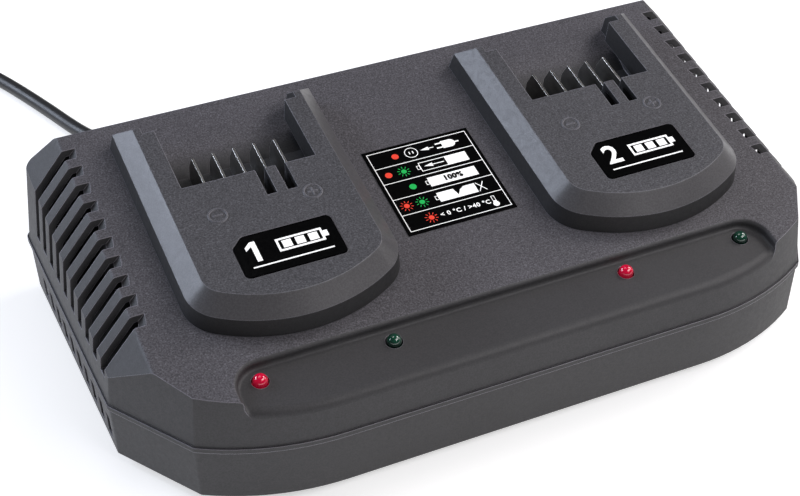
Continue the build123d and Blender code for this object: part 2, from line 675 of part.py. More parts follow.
def make_dock(side):
    """Raised dock with two overhanging rails, seated on the deck."""
    base = dock_plane(side)
    cavity_back = Plane(base.from_local_coords((0, CHANNEL_FRONT - WALL, 0)), x_dir=DECK.x_dir,
                        z_dir=DECK.y_dir)
    with BuildPart() as cavity:
        add(dock_form(base, WALL))
        split(bisect_by=cavity_back, keep=Keep.BOTTOM)
    with BuildPart() as dock:
        add(dock_form(base))
        # channel, open at the back, with a groove under each overhang
        length = 2 * DOCK_BACK
        for width, start, height in (
                (CHANNEL_WIDTH, CHANNEL_FRONT, 2 * PAD_HEIGHT),
                (GROOVE_WIDTH, CHANNEL_FRONT, GROOVE_HEIGHT),
                (GROOVE_WIDTH, OVERHANG_BACK, 2 * PAD_HEIGHT)):
            with BuildSketch(base):
                with Locations((0, start + length / 2)):
                    Rectangle(width, length)
            extrude(amount=height, mode=Mode.SUBTRACT)
        # hollow front with two screw bosses
        add(cavity.part, mode=Mode.SUBTRACT)
        with BuildSketch(base):
            with Locations(*dock_screw_points()[2:]):
                Circle(SMALL_BOSS / 2)
        extrude(amount=PAD_HEIGHT - WALL / 2)
        with Locations(base):
            with Locations(*dock_screw_points()):
                Cylinder(SMALL_SCREW / 2 + SCREW_FIT, DOCK_SCREW_DEPTH,
                         align=(Align.CENTER, Align.CENTER, Align.MIN), mode=Mode.SUBTRACT)
        # key slots beside the positive contacts
        slot_length = CHANNEL_FRONT - KEY_SLOT_FRONT
        with BuildSketch(base.offset(PAD_HEIGHT)):
            with Locations(*[(x, KEY_SLOT_FRONT + slot_length / 2) for x in key_slot_offsets()]):
                Rectangle(KEY_SLOT_WIDTH, slot_length)
        extrude(amount=-KEY_SLOT_DEPTH, mode=Mode.SUBTRACT)
        # seat of the badge plate
        with BuildSketch(base.offset(PAD_HEIGHT)):
            with Locations((PLATE_X, PLATE_Y)):
                add(plate_outline(FIT))
        extrude(amount=-PLATE_RECESS, mode=Mode.SUBTRACT)
        # raised polarity marks: a ringed bar and a ringed cross
        with BuildSketch(base.offset(PAD_HEIGHT)):
            with Locations((-MARK_X, MARK_Y), (MARK_X, MARK_Y)):
                Circle(MARK_DIAMETER / 2)
                Circle(MARK_DIAMETER / 2 - MARK_LINE, mode=Mode.SUBTRACT)
                Rectangle(MARK_DIAMETER / 2, MARK_LINE)
            with Locations((MARK_X, MARK_Y)):
                Rectangle(MARK_LINE, MARK_DIAMETER / 2)
        extrude(amount=MARK_HEIGHT)
        add(blade_slits(side), mode=Mode.SUBTRACT)
    return dock


def plate_outline(grow=0.0):
    """Plan of a badge plate: round corners, and one of them cut."""
    with BuildSketch() as plan:
        Rectangle(PLATE_LENGTH + 2 * grow, PLATE_WIDTH + 2 * grow)
        chamfer(plan.vertices().group_by(Axis.Y)[-1].sort_by(Axis.X)[0], length=PLATE_CUT)
        fillet(plan.vertices(), radius=PLATE_ROUND + grow)
    return plan.sketch


def make_plate(side):
    """Bare badge plate let into the top of a dock."""
    with BuildPart() as plate:
        with BuildSketch(dock_plane(side, PAD_HEIGHT - PLATE_RECESS)):
            with Locations((PLATE_X, PLATE_Y)):
                add(plate_outline())
        extrude(amount=PLATE_THICKNESS)
    return plate


def make_terminal_block(side):
    """Insulating block under the front of a dock that carries the blades."""
    block_back = CHANNEL_FRONT - WALL - FIT
    with BuildPart() as block:
        with BuildSketch(dock_plane(side, -BLOCK_BELOW)):
            with Locations((0, block_back - BLOCK_DEPTH / 2)):
                Rectangle(BLOCK_LENGTH, BLOCK_DEPTH)
        extrude(amount=BLOCK_BELOW + PAD_HEIGHT - WALL - FIT)
        with BuildSketch(dock_plane(side, PAD_HEIGHT)):
            with Locations(*[(x, KEY_SLOT_FRONT + BLOCK_DEPTH / 2) for x in key_slot_offsets()]):
                Rectangle(KEY_SLOT_WIDTH, BLOCK_DEPTH)
        extrude(amount=-KEY_SLOT_DEPTH, mode=Mode.SUBTRACT)
        for x in blade_offsets():
            with BuildSketch(profile_plane(side * DOCK_SPACING / 2 + x)):
                with Locations((BLADE_TAIL, -POCKET_DEPTH)):
                    Rectangle(BLOCK_DEPTH, BLADE_TOP + POCKET_DEPTH + SLIT_FIT, align=Align.MIN)
                with Locations((BLADE_TAIL, -POCKET_DEPTH)):
                    Rectangle(LUG_WIDTH, BLOCK_BELOW, align=(Align.MIN, Align.MAX))
            extrude(amount=BLADE_THICKNESS / 2 + SLIT_FIT, both=True, mode=Mode.SUBTRACT)
    return block


def make_blades(side):
    """Five upright contact blades with a solder lug below each."""
    with BuildPart() as blades:
        for x in blade_offsets():
            with BuildSketch(profile_plane(side * DOCK_SPACING / 2 + x)) as profile:
                Polygon((BLADE_TAIL, -POCKET_DEPTH), (BLADE_HEEL, -POCKET_DEPTH),
                        (BLADE_HEEL, BLADE_SHOULDER), (BLADE_TIP, BLADE_TOP),
                        (BLADE_TAIL, BLADE_TOP), align=None)
                fillet(profile.vertices().sort_by(Axis.Y)[-1:], radius=BLADE_ROUND)
                lug = BLOCK_BELOW - POCKET_DEPTH + LUG_LENGTH
                with Locations((BLADE_TAIL, -POCKET_DEPTH)):
                    Rectangle(LUG_WIDTH, lug, align=(Align.MIN, Align.MAX))
            extrude(amount=BLADE_THICKNESS / 2, both=True)
    return blades


def make_dock_leads(side):
    """Insulated leads from the lugs of one dock down to the main board."""
    with BuildPart() as leads:
        for i, x in enumerate(blade_offsets()):
            lug = dock_plane(side).from_local_coords(
                (x, BLADE_TAIL + LUG_WIDTH / 2, -BLOCK_BELOW - LUG_LENGTH))
            top = (lug.X, lug.Y, lug.Z - 2 * SLIT_FIT)
            if side < 0:
                route = [top, (lug.X, lug.Y, BOARD_TOP)]
                with BuildLine() as path:
                    Line(*route)
            else:
                level = lug.Z - 3 * WIRE / 2
                row = lug.Y + i * 2 * WIRE
                foot_x = MAIN_BOARD_X + MAIN_BOARD_LENGTH / 2 - STANDOFF_DIAMETER
                aside = [(lug.X, row, level)] if i else []
                route = [top, (lug.X, lug.Y, level), *aside, (foot_x, row, level), (foot_x, row, BOARD_TOP)]
                with BuildLine() as path:
                    FilletPolyline(*route, radius=WIRE * 0.6)
            with BuildSketch(Plane(origin=top, z_dir=(0, 0, -1))):
                Circle(WIRE / 2)
            sweep(path=path.wires()[0])
    return leads


for side, name in ((-1, "left"), (1, "right")):
    export(make_dock(side), f"{name}_dock")
    export(make_plate(side), f"{name}_dock_plate")
    export(make_terminal_block(side), f"{name}_terminal_block")
    export(make_blades(side), f"{name}_contact_blades")
    export(make_dock_leads(side), f"{name}_dock_leads")

with BuildPart() as status_label:
    with BuildSketch(DECK):
        with Locations((LABEL_X, LABEL_Y)):
            Rectangle(LABEL_WIDTH, LABEL_LENGTH)
    extrude(amount=LABEL_THICKNESS)
export(status_label, "status_label")

# ================================================================ indicator lamps
lamp_names = ("left_red_lamp", "left_green_lamp", "right_red_lamp", "right_green_lamp")
lamp_foot = -STRIP_DEPTH - WALL - LED_FLANGE_HEIGHT
for name, (x, y) in zip(lamp_names, led_points()):
    with BuildPart() as lamp:
        foot = DECK.from_local_coords((x, y, lamp_foot))
        with Locations(Plane(foot, x_dir=DECK.x_dir, z_dir=DECK.z_dir)):
            Cylinder(LED_FLANGE / 2 + FIT, LED_FLANGE_HEIGHT - FIT / 5,
                     align=(Align.CENTER, Align.CENTER, Align.MIN))
            Cylinder(LED_DIAMETER / 2, LED_BODY, align=(Align.CENTER, Align.CENTER, Align.MIN))
            with Locations((0, 0, LED_BODY)):
                Sphere(LED_DIAMETER / 2)
            with Locations((LED_LEG_PITCH / 2, 0, 0), (-LED_LEG_PITCH / 2, 0, 0)):
                Box(LED_LEG_SIDE, LED_LEG_SIDE, LED_LEG, align=(Align.CENTER, Align.CENTER, Align.MAX))
    export(lamp, name)

with BuildPart() as lamp_board:
    with BuildSketch(DECK.offset(lamp_foot - LED_LEG)):
        with Locations((0, LED_Y)):
            Rectangle(LED_BOARD_LENGTH, LED_BOARD_WIDTH)
        with Locations(*lamp_board_screws()):
            Circle(SMALL_SCREW / 2 + FIT, mode=Mode.SUBTRACT)
    extrude(amount=-BOARD)
export(lamp_board, "lamp_board")


def screws(places, diameter, head, head_height, length):
    """Pan-head screws: each place is a plane at the underside of the head, pointing to the head."""
    with BuildPart() as group:
        for place in places:
            with Locations(place):
                Cylinder(head / 2, head_height, align=(Align.CENTER, Align.CENTER, Align.MIN))
                Cylinder(diameter / 2, length, align=(Align.CENTER, Align.CENTER, Align.MAX))
                with Locations((0, 0, head_height)):
                    Box(head * CROSS_LENGTH, head * CROSS_WIDTH, head_height * CROSS_DEPTH,
                        align=(Align.CENTER, Align.CENTER, Align.MAX), mode=Mode.SUBTRACT)
                    Box(head * CROSS_WIDTH, head * CROSS_LENGTH, head_height * CROSS_DEPTH,
                        align=(Align.CENTER, Align.CENTER, Align.MAX), mode=Mode.SUBTRACT)
    return group


def facing(point, direction, x_dir=(1, 0, 0)):
    """Work plane at a point, facing a direction."""
    return Plane(origin=point, x_dir=x_dir, z_dir=direction)


down = tuple(-DECK.z_dir)
export(screws([facing(DECK.from_local_coords((x, y, lamp_foot - LED_LEG - BOARD)), down)
               for x, y in lamp_board_screws()],
              SMALL_SCREW, SMALL_HEAD, SMALL_HEAD_HEIGHT, SMALL_SCREW_LENGTH - BOARD), "lamp_board_screws")
export(screws([facing(dock_plane(side).from_local_coords((x, y, -WALL)), down)
               for side in (-1, 1) for x, y in dock_screw_points()],
              SMALL_SCREW, SMALL_HEAD, SMALL_HEAD_HEIGHT, WALL + DOCK_SCREW_DEPTH - CUT), "dock_screws")
export(screws([facing((x, y, BASE_Z + SCREW_RECESS), (0, 0, -1)) for x, y in boss_points()],
              SCREW, SCREW_HEAD, SCREW_HEAD_HEIGHT, SCREW_LENGTH), "housing_screws")
export(screws([facing((x, y, BOARD_TOP), (0, 0, 1)) for x, y in board_screw_points()],
              SMALL_SCREW, SMALL_HEAD, SMALL_HEAD_HEIGHT, SMALL_SCREW_LENGTH), "board_screws")

# ================================================================ feet
with BuildPart() as rubber_feet:
    for x, y in foot_points():
        with BuildSketch(Plane.XY.offset(BASE_Z + FOOT_SEAT)):
            with Locations((x, y)):
                Circle(FOOT_DIAMETER / 2)
        extrude(amount=-FOOT_SEAT - FOOT_HEIGHT)
    chamfer(rubber_feet.faces().group_by(Axis.Z)[0].edges(), length=FOOT_EDGE)
export(rubber_feet, "rubber_feet")

# ================================================================ power electronics
with BuildPart() as main_board:
    with BuildSketch(Plane.XY.offset(BOARD_Z)):
        with Locations((MAIN_BOARD_X, MAIN_BOARD_Y)):
            Rectangle(MAIN_BOARD_LENGTH, MAIN_BOARD_WIDTH)
        with Locations(*board_screw_points()):
            Circle(SMALL_SCREW / 2 + FIT, mode=Mode.SUBTRACT)
    extrude(amount=BOARD)
export(main_board, "main_board")

core_foot = BASE_Z + 3 * WALL / 2
with BuildPart() as transformer_core:
    with BuildSketch(Plane(origin=(CORE_X, CORE_Y, core_foot), x_dir=(1, 0, 0), z_dir=(0, -1, 0))):
        with Locations((0, CORE_HEIGHT / 2)):
            Rectangle(CORE_LENGTH, CORE_HEIGHT)
            with GridLocations(CORE_LENGTH / 2, 0, 2, 1):
                Rectangle(CORE_LENGTH / 2 - 2 * CORE_LEG, CORE_HEIGHT - 2 * CORE_LEG, mode=Mode.SUBTRACT)
    extrude(amount=CORE_DEPTH / 2, both=True)
    with BuildSketch(Plane.XY.offset(core_foot)):
        with Locations((CORE_X, CORE_Y)):
            Rectangle(CORE_LENGTH + 2 * CORE_EAR, CORE_DEPTH / 2)
        with Locations(*core_screw_points()):
            Circle(SCREW / 2 + FIT, mode=Mode.SUBTRACT)
    extrude(amount=BOARD)
export(transformer_core, "transformer_core")

with BuildPart() as transformer_winding:
    with BuildSketch(Plane.XY.offset(core_foot + CORE_LEG + FIT)):
        with Locations((CORE_X, CORE_Y)):
            RectangleRounded(CORE_LENGTH - 2 * CORE_LEG - 2 * FIT, WINDING_DEPTH, CORE_LEG / 2)
            Rectangle(2 * CORE_LEG + 2 * FIT, CORE_DEPTH + 2 * FIT, mode=Mode.SUBTRACT)
    extrude(amount=CORE_HEIGHT - 2 * CORE_LEG - 2 * FIT)
export(transformer_winding, "transformer_winding")
export(screws([facing((x, y, core_foot + BOARD), (0, 0, 1)) for x, y in core_screw_points()],
              SCREW, SCREW_HEAD, SCREW_HEAD_HEIGHT, BOARD + 2 * WALL / 3), "transformer_screws")


def make_heat_sink(side):
    """Finned aluminium profile that stands on the main board, its flat side to the back."""
    with BuildPart() as sink:
        with BuildSketch(Plane.XY.offset(BOARD_TOP)):
            with Locations((MAIN_BOARD_X + side * SINK_X, SINK_Y)):
                Rectangle(SINK_LENGTH, SINK_BASE)
                with Locations((0, -SINK_BASE / 2)):
                    with GridLocations((SINK_LENGTH - SINK_FIN) / (SINK_FINS - 1), 0, SINK_FINS, 1):
                        Rectangle(SINK_FIN, SINK_DEPTH, align=(Align.CENTER, Align.MAX))
        extrude(amount=SINK_HEIGHT)
    return sink


for side, name in ((-1, "left"), (1, "right")):
    export(make_heat_sink(side), f"{name}_heat_sink")

with BuildPart() as power_transistors:
    for side in (-1, 1):
        for step in (-1, 1):
            x = MAIN_BOARD_X + side * SINK_X + step * SINK_LENGTH / 4
            with BuildSketch(Plane.XY.offset(BOARD_TOP + LED_LEG)):
                with Locations((x, SINK_Y + SINK_BASE / 2 + TAB_THICKNESS / 2)):
                    Rectangle(TAB_WIDTH, TAB_THICKNESS)
            extrude(amount=TAB_HEIGHT)
            with BuildSketch(Plane.XY.offset(BOARD_TOP)):
                with Locations((x, SINK_Y + SINK_BASE / 2 + TAB_THICKNESS / 2)):
                    with GridLocations(LED_LEG_PITCH, 0, 3, 1):
                        Rectangle(LED_LEG_SIDE, LED_LEG_SIDE)
            extrude(amount=LED_LEG)
export(power_transistors, "power_transistors")

with BuildPart() as smoothing_capacitors:
    for step in range(2):
        with BuildSketch(Plane.XY.offset(BOARD_TOP)):
            with Locations((CORD_X + CAP_ASIDE + step * CAP_PITCH, BOARD_BACK - CAP_SETBACK)):
                Circle(CAP_DIAMETER / 2)
        extrude(amount=CAP_HEIGHT)
    fillet(smoothing_capacitors.faces().group_by(Axis.Z)[-1].edges(), radius=CAP_ROUND)
export(smoothing_capacitors, "smoothing_capacitors")

with BuildPart() as relays:
    for step in range(2):
        x = BOARD_RIGHT - RELAY_INSET - step * RELAY_PITCH
        with Locations((x, BOARD_BACK - RELAY_SETBACK, BOARD_TOP)):
            Box(RELAY_LENGTH, RELAY_WIDTH, RELAY_HEIGHT, align=(Align.CENTER, Align.CENTER, Align.MIN))
    chamfer(relays.faces().group_by(Axis.Z)[-1].edges(), length=RELAY_EDGE)
export(relays, "relays")

with BuildPart() as control_chips:
    for step in range(2):
        with Locations((MAIN_BOARD_X + CHIP_X + step * CHIP_PITCH, MAIN_BOARD_Y + CHIP_Y, BOARD_TOP)):
            Box(CHIP_LENGTH, CHIP_WIDTH, CHIP_HEIGHT, align=(Align.CENTER, Align.CENTER, Align.MIN))
export(control_chips, "control_chips")

fuse_x = BOARD_LEFT + FUSE_INSET
fuse_y = BOARD_BACK - FUSE_SETBACK
fuse_z = BOARD_TOP + FUSE_LIFT + FUSE_DIAMETER / 2
with BuildPart() as mains_fuse:
    with Locations(Location((fuse_x, fuse_y, fuse_z), (90, 0, 0))):
        Cylinder(FUSE_DIAMETER / 2, FUSE_LENGTH)
export(mains_fuse, "mains_fuse")

with BuildPart() as fuse_clips:
    for step in (-1, 1):
        y = fuse_y + step * (FUSE_LENGTH - CLIP_WIDTH) / 2
        with Locations((fuse_x, y, BOARD_TOP)):
            Box(FUSE_DIAMETER + 2 * (CLIP_FIT + CLIP_WALL), CLIP_WIDTH, CLIP_FOOT,
                align=(Align.CENTER, Align.CENTER, Align.MIN))
            for turn in (-1, 1):
                with Locations((turn * (FUSE_DIAMETER / 2 + CLIP_FIT + CLIP_WALL / 2), 0, 0)):
                    Box(CLIP_WALL, CLIP_WIDTH, FUSE_LIFT + FUSE_DIAMETER,
                        align=(Align.CENTER, Align.CENTER, Align.MIN))
export(fuse_clips, "fuse_clips")

terminal_y = BOARD_BACK - TERMINAL_SETBACK
with BuildPart() as mains_terminal:
    with Locations((CORD_X, terminal_y, BOARD_TOP)):
        Box(TERMINAL_LENGTH, TERMINAL_WIDTH, TERMINAL_HEIGHT, align=(Align.CENTER, Align.CENTER, Align.MIN))
    chamfer(mains_terminal.faces().sort_by(Axis.Z)[-1].edges().sort_by(Axis.Y)[:1], length=TERMINAL_SLOPE)
export(mains_terminal, "mains_terminal")

# ================================================================ mains entry
clamp_y = BACK - WALL - CLAMP_GAP
cord_end = clamp_y - CLAMP_WIDTH
with BuildPart() as mains_leads:
    for step in (-1, 1):
        start = (CORD_X + step * WIRE * 0.6, cord_end, GLAND_Z)
        foot = (CORD_X + step * TERMINAL_LENGTH / 4, terminal_y, BOARD_TOP + TERMINAL_HEIGHT)
        with BuildLine() as path:
            FilletPolyline(start, (start[0], start[1] - LEAD_REACH, GLAND_Z),
                           (*foot[:2], GLAND_Z + LEAD_REACH + step), foot, radius=WIRE)
        with BuildSketch(Plane(origin=start, z_dir=(0, -1, 0))):
            Circle(WIRE / 2)
        sweep(path=path.wires()[0])
export(mains_leads, "mains_leads")

with BuildPart() as cord_clamp:
    with BuildSketch(Plane.XY.offset(GLAND_Z + CORD / 2)):
        with Locations((CORD_X, clamp_y)):
            RectangleRounded(CLAMP_LENGTH, CLAMP_WIDTH, CLAMP_WIDTH / 4)
        with Locations(*clamp_screw_points()):
            Circle(SCREW / 2 + FIT, mode=Mode.SUBTRACT)
    extrude(amount=CLAMP_THICKNESS)
export(cord_clamp, "cord_clamp")
clamp_top = GLAND_Z + CORD / 2 + CLAMP_THICKNESS
export(screws([facing((x, y, clamp_top), (0, 0, 1)) for x, y in clamp_screw_points()],
              SCREW, SCREW_HEAD, SCREW_HEAD_HEIGHT, CLAMP_SCREW), "clamp_screws")

gland_inner = BACK - WALL - FIT - LIP - FIT
gland_outer = BACK + LEDGE + FIT / 2
sleeve_end = gland_outer + GLAND_COLLAR + SLEEVE_LENGTH
with BuildPart() as strain_relief:
    with BuildSketch(Plane(origin=(CORD_X, gland_inner, GLAND_Z), x_dir=(1, 0, 0), z_dir=(0, 1, 0))):
        Circle(GLAND_GROOVE / 2)
    extrude(amount=gland_outer - gland_inner)
    with BuildSketch(Plane(origin=(CORD_X, gland_inner, GLAND_Z), x_dir=(1, 0, 0), z_dir=(0, -1, 0))):
        Circle(GLAND_FLANGE / 2)
    extrude(amount=GLAND_INNER_COLLAR)
    with BuildSketch(Plane(origin=(CORD_X, gland_outer, GLAND_Z), x_dir=(1, 0, 0), z_dir=(0, 1, 0))):
        Circle(GLAND_FLANGE / 2)
    extrude(amount=GLAND_COLLAR)
    with BuildSketch(Plane(origin=(CORD_X, gland_outer + GLAND_COLLAR, GLAND_Z), z_dir=(0, 1, 0))):
        Circle(SLEEVE_START / 2)
    with BuildSketch(Plane(origin=(CORD_X, sleeve_end, GLAND_Z), z_dir=(0, 1, 0))):
        Circle(SLEEVE_END / 2)
    loft()
    with BuildSketch(Plane(origin=(CORD_X, sleeve_end, GLAND_Z), z_dir=(0, -1, 0))):
        Circle(CORD / 2 + BORE_FIT)
    extrude(amount=2 * SLEEVE_LENGTH, mode=Mode.SUBTRACT)
export(strain_relief, "strain_relief")

# ================================================================ mains cord
cord_z = CORD / 2 + FLOOR_GAP  # axis of a cord that lies on the floor
outer_turn = COIL_RADIUS + COIL_WIDTH / 2
# chosen by hand: out of the sleeve, down to the floor, back and round to the coil
cord_route = [
    (CORD_X, cord_end, GLAND_Z),
    (CORD_X, sleeve_end + 12, GLAND_Z),
    (-81.5, 143.5, 13),
    (-91, 164, cord_z),
    (-102, 191, cord_z),
    (-114.3, 222, cord_z),
    (-128.5, 250.5, cord_z),
    (-155.5, 270.6, cord_z),
    (COIL_X, COIL_Y + outer_turn + CORD / 2 + COIL_GAP, cord_z),
]


def turn_radii(route):
    """Largest radius that fits each corner: 0.45 of the shorter run over the tangent of half the turn."""
    radii = []
    for a, b, c in zip(route, route[1:], route[2:]):
        before, after = Vector(b) - Vector(a), Vector(c) - Vector(b)
        half_turn = radians(before.get_angle(after)) / 2
        radii.append(0.45 * min(before.length, after.length) / tan(half_turn))
    return radii


def tube(route):
    """Round tube along straight runs joined by tangent arcs."""
    with BuildPart() as piece:
        with BuildLine() as path:
            FilletPolyline(*route, radius=turn_radii(route))
        line = path.wires()[0]
        with BuildSketch(Plane(origin=route[0], z_dir=Vector(route[1]) - Vector(route[0]))):
            Circle(CORD / 2)
        sweep(path=line)
    section = pi * CORD ** 2 / 4
    print("tube radii", [round(r, 1) for r in turn_radii(route)], "length", round(line.length, 1),
          "volume ratio", round(piece.part.volume / (section * line.length), 4))
    return piece


export(tube(cord_route), "mains_cord")

coil_side = Plane(origin=(COIL_X, COIL_Y - COIL_RADIUS, cord_z + COIL_HEIGHT / 2 - CORD / 2),
                  x_dir=(0, 1, 0), z_dir=(1, 0, 0))
with BuildPart() as cord_coil:
    with BuildSketch(coil_side):
        RectangleRounded(COIL_WIDTH, COIL_HEIGHT, COIL_EDGE)
    revolve(axis=Axis((COIL_X, COIL_Y, 0), (0, 0, 1)))
    # waist under the tie
    with BuildSketch(coil_side):
        Rectangle(2 * COIL_WIDTH, 2 * COIL_HEIGHT)
        waist = 2 * (TIE_THICKNESS + TIE_FIT)
        RectangleRounded(COIL_WIDTH - waist, COIL_HEIGHT - waist, TIE_ROUND, mode=Mode.SUBTRACT)
    extrude(amount=TIE_WIDTH / 2 + TIE_FIT, both=True, mode=Mode.SUBTRACT)
export(cord_coil, "cord_coil")

with BuildPart() as cord_tie:
    with BuildSketch(coil_side):
        RectangleRounded(COIL_WIDTH, COIL_HEIGHT, COIL_EDGE)
        RectangleRounded(COIL_WIDTH - 2 * TIE_THICKNESS, COIL_HEIGHT - 2 * TIE_THICKNESS, TIE_ROUND,
                         mode=Mode.SUBTRACT)
    extrude(amount=TIE_WIDTH / 2, both=True)
export(cord_tie, "cord_tie")

tail_x = COIL_X - outer_turn - CORD / 2 - COIL_GAP
plug_y = COIL_Y - PLUG_SETBACK
plug_z = PLUG_HEIGHT / 2 + FLOOR_GAP
tail_route = [
    (tail_x, COIL_Y + 4, cord_z),
    (tail_x, COIL_Y - 18, cord_z),
    (tail_x, COIL_Y - 40, plug_z),
    (tail_x, plug_y, plug_z),
]
export(tube(tail_route), "cord_tail")

with BuildPart() as plug_body:
    with BuildSketch(Plane.XY.offset(plug_z - PLUG_HEIGHT / 2)):
        with Locations((tail_x, plug_y)):
            Polygon((PLUG_NECK / 2, 0), (-PLUG_NECK / 2, 0), (-PLUG_GRIP / 2, -GRIP_START),
                    (-PLUG_WIDTH / 2, -GRIP_END), (-PLUG_WIDTH / 2, -PLUG_LENGTH),
                    (PLUG_WIDTH / 2, -PLUG_LENGTH), (PLUG_WIDTH / 2, -GRIP_END),
                    (PLUG_GRIP / 2, -GRIP_START), align=None)
    extrude(amount=PLUG_HEIGHT)
    fillet(plug_body.edges().filter_by(Axis.Z).group_by(Axis.Y)[0], radius=PLUG_CORNER)
    fillet(plug_body.faces().filter_by(Axis.Z).edges(), radius=PLUG_EDGE)
export(plug_body, "plug_body")

with BuildPart() as plug_pins:
    for side in (-1, 1):
        pin_foot = (tail_x + side * PIN_SPACING / 2, plug_y - PLUG_LENGTH, plug_z)
        with BuildSketch(Plane(origin=pin_foot, x_dir=(1, 0, 0), z_dir=(0, -1, 0))):
            Circle(PIN_DIAMETER / 2)
        extrude(amount=PIN_LENGTH)
    fillet(plug_pins.faces().group_by(Axis.Y)[0].edges(), radius=PIN_TIP)
export(plug_pins, "plug_pins")
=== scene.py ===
"""Dual-bay battery charger: finishes, printed legends, lamps and mains cord around the packed model.

Every size is in metres, in the frame of the packed model: X to the right, Y to the back, Z up, with
the origin on the floor under the middle of the case.
"""
import math

import bmesh
import bpy
from bpy.props import FloatProperty, FloatVectorProperty, PointerProperty
from mathutils import Matrix, Vector


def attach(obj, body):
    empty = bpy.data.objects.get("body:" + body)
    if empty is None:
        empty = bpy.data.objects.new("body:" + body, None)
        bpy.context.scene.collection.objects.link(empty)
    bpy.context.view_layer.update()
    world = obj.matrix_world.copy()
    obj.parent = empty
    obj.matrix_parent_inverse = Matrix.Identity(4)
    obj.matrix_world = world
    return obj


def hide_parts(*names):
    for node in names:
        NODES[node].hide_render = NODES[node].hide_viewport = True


bl_info = {
    "name": "Dual-bay battery charger",
    "version": (1, 0, 0),
    "blender": (4, 5, 0),
    "location": "3D View > Sidebar > Charger",
    "description": "Builds the finishes, prints, lamps and cord of a dual-bay power tool battery charger",
    "category": "Object",
}

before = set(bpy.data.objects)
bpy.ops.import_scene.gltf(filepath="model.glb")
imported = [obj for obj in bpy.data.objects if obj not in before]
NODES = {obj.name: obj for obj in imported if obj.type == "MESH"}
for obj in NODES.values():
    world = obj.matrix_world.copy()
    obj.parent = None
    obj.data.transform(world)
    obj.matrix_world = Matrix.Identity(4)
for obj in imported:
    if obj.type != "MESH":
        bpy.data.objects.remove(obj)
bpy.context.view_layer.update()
MM = 0.001

# camera, from its place and its three turns
CAMERA_PLACE = Vector((-0.1906, -0.40207, 0.3668))
CAMERA_YAW = math.radians(-23.506)
CAMERA_ELEVATION = math.radians(37.481)
CAMERA_ROLL = math.radians(0.706)
CAMERA_LENS = 69.9
CAMERA_SENSOR = 36.0

# deck of the case
DECK_HEIGHT = 55.4 * MM  # over the floor at the middle of the depth
DECK_TILT = math.radians(11)

# mains cord: along the tube of the packed model, then the turns that its ring stands for, then the tail
CORD_RADIUS = 3.0 * MM
CORD_FLOOR = 3.05 * MM
GLAND_HEIGHT = 25.4 * MM
SLEEVE_END = 109.225 * MM
COIL_CENTRE = Vector((-0.188, 0.226, 0))
COIL_RADII = 42 * MM, 36 * MM, 30 * MM, 24 * MM
COIL_TURN_POINTS = 24
COIL_REACH = 48.2 * MM  # radius at which the cord meets the coil
COIL_START = math.radians(150)
COIL_FIRST, COIL_LAST = -1 / 6, 7.04  # turns from the start at which the coil begins and ends
COIL_CLIMB = 3.3  # turn at which the line begins to climb to the upper layer
COIL_SHIFT = 0.4  # share of a turn in which the line moves over or up by one diameter
STRAP_ANGLE = math.radians(270)
STRAP_WIDTH = 7.0 * MM
STRAP_THICKNESS = 0.75 * MM
STRAP_CORNER_STEPS = 6
STRAP_FREE_END = slice(4, 11)  # points of its outline on which the free end lies
CORD_ROUTE = [
    (-0.074, 0.0505, GLAND_HEIGHT),
    (-0.074, 0.0940, GLAND_HEIGHT),
    (-0.074, SLEEVE_END + 0.012, GLAND_HEIGHT),
    (-0.0805, 0.1408, 0.0102),
    (-0.0867, 0.1521, 0.0044),
    (-0.0925, 0.1640, CORD_FLOOR),
    (-0.102, 0.191, CORD_FLOOR),
    (-0.1143, 0.222, CORD_FLOOR),
    (-0.1283, 0.2480, CORD_FLOOR),
    (-0.1505, 0.2667, CORD_FLOOR),
    (-0.1706, 0.2740, CORD_FLOOR),
]
TAIL_ROUTE = [
    (-0.2356, 0.2115, 0.0091),
    (-0.2363, 0.198, 0.0063),
    (-0.2363, 0.184, 0.0064),
    (-0.2363, 0.170, 0.00705),
]

# moulded plastic: the ranges in which its finish changes, of the upward part of the normal
FLAT_FROM = 0.80, 0.93  # from sloping to flat faces
SLOPE_FROM = 0.35, 0.45  # from upright to sloping faces, for the gloss
SLOPE_PAINTED_LIGHT_FROM = 0.20, 0.45  # the same, for the painted light and shade of the colour
STRIP_FROM = -2.4 * MM, -0.8 * MM  # height over the deck's plane, from the lamp strip to the deck
EDGE_GAIN = 9.0  # how quickly a rounded edge counts as one, in the mask of the painted edge highlights

# studio lights: name, place, width and height, setting of the power, colour
WARM, COOL, NEUTRAL = (1.0, 0.965, 0.965), (0.76, 0.84, 1.0), (1.0, 0.98, 1.0)
LIGHT_TARGET = Vector((0.0, 0.0, 0.05))
LIGHTS = (
    ("key_light", (1.17, 0.18, 1.08), (0.51, 0.51), "key_power", WARM),
    ("side_light", (-1.05, 0.75, 0.67), (0.96, 0.54), "side_power", COOL),
    ("top_light", (-0.10, 0.25, 1.05), (0.50, 0.30), "top_power", NEUTRAL),
    ("rim_light", (0.92, -0.10, 0.42), (0.50, 0.20), "rim_power", WARM),
    ("front_light", (0.42, -0.54, 0.74), (0.80, 0.40), "front_power", NEUTRAL),
)
FLOOR_HALF = 6.0
BACKDROP_FROM = 0.5, 2.5  # distances between which the seen floor turns to a full white
BACKDROP_WHITE = 0.95


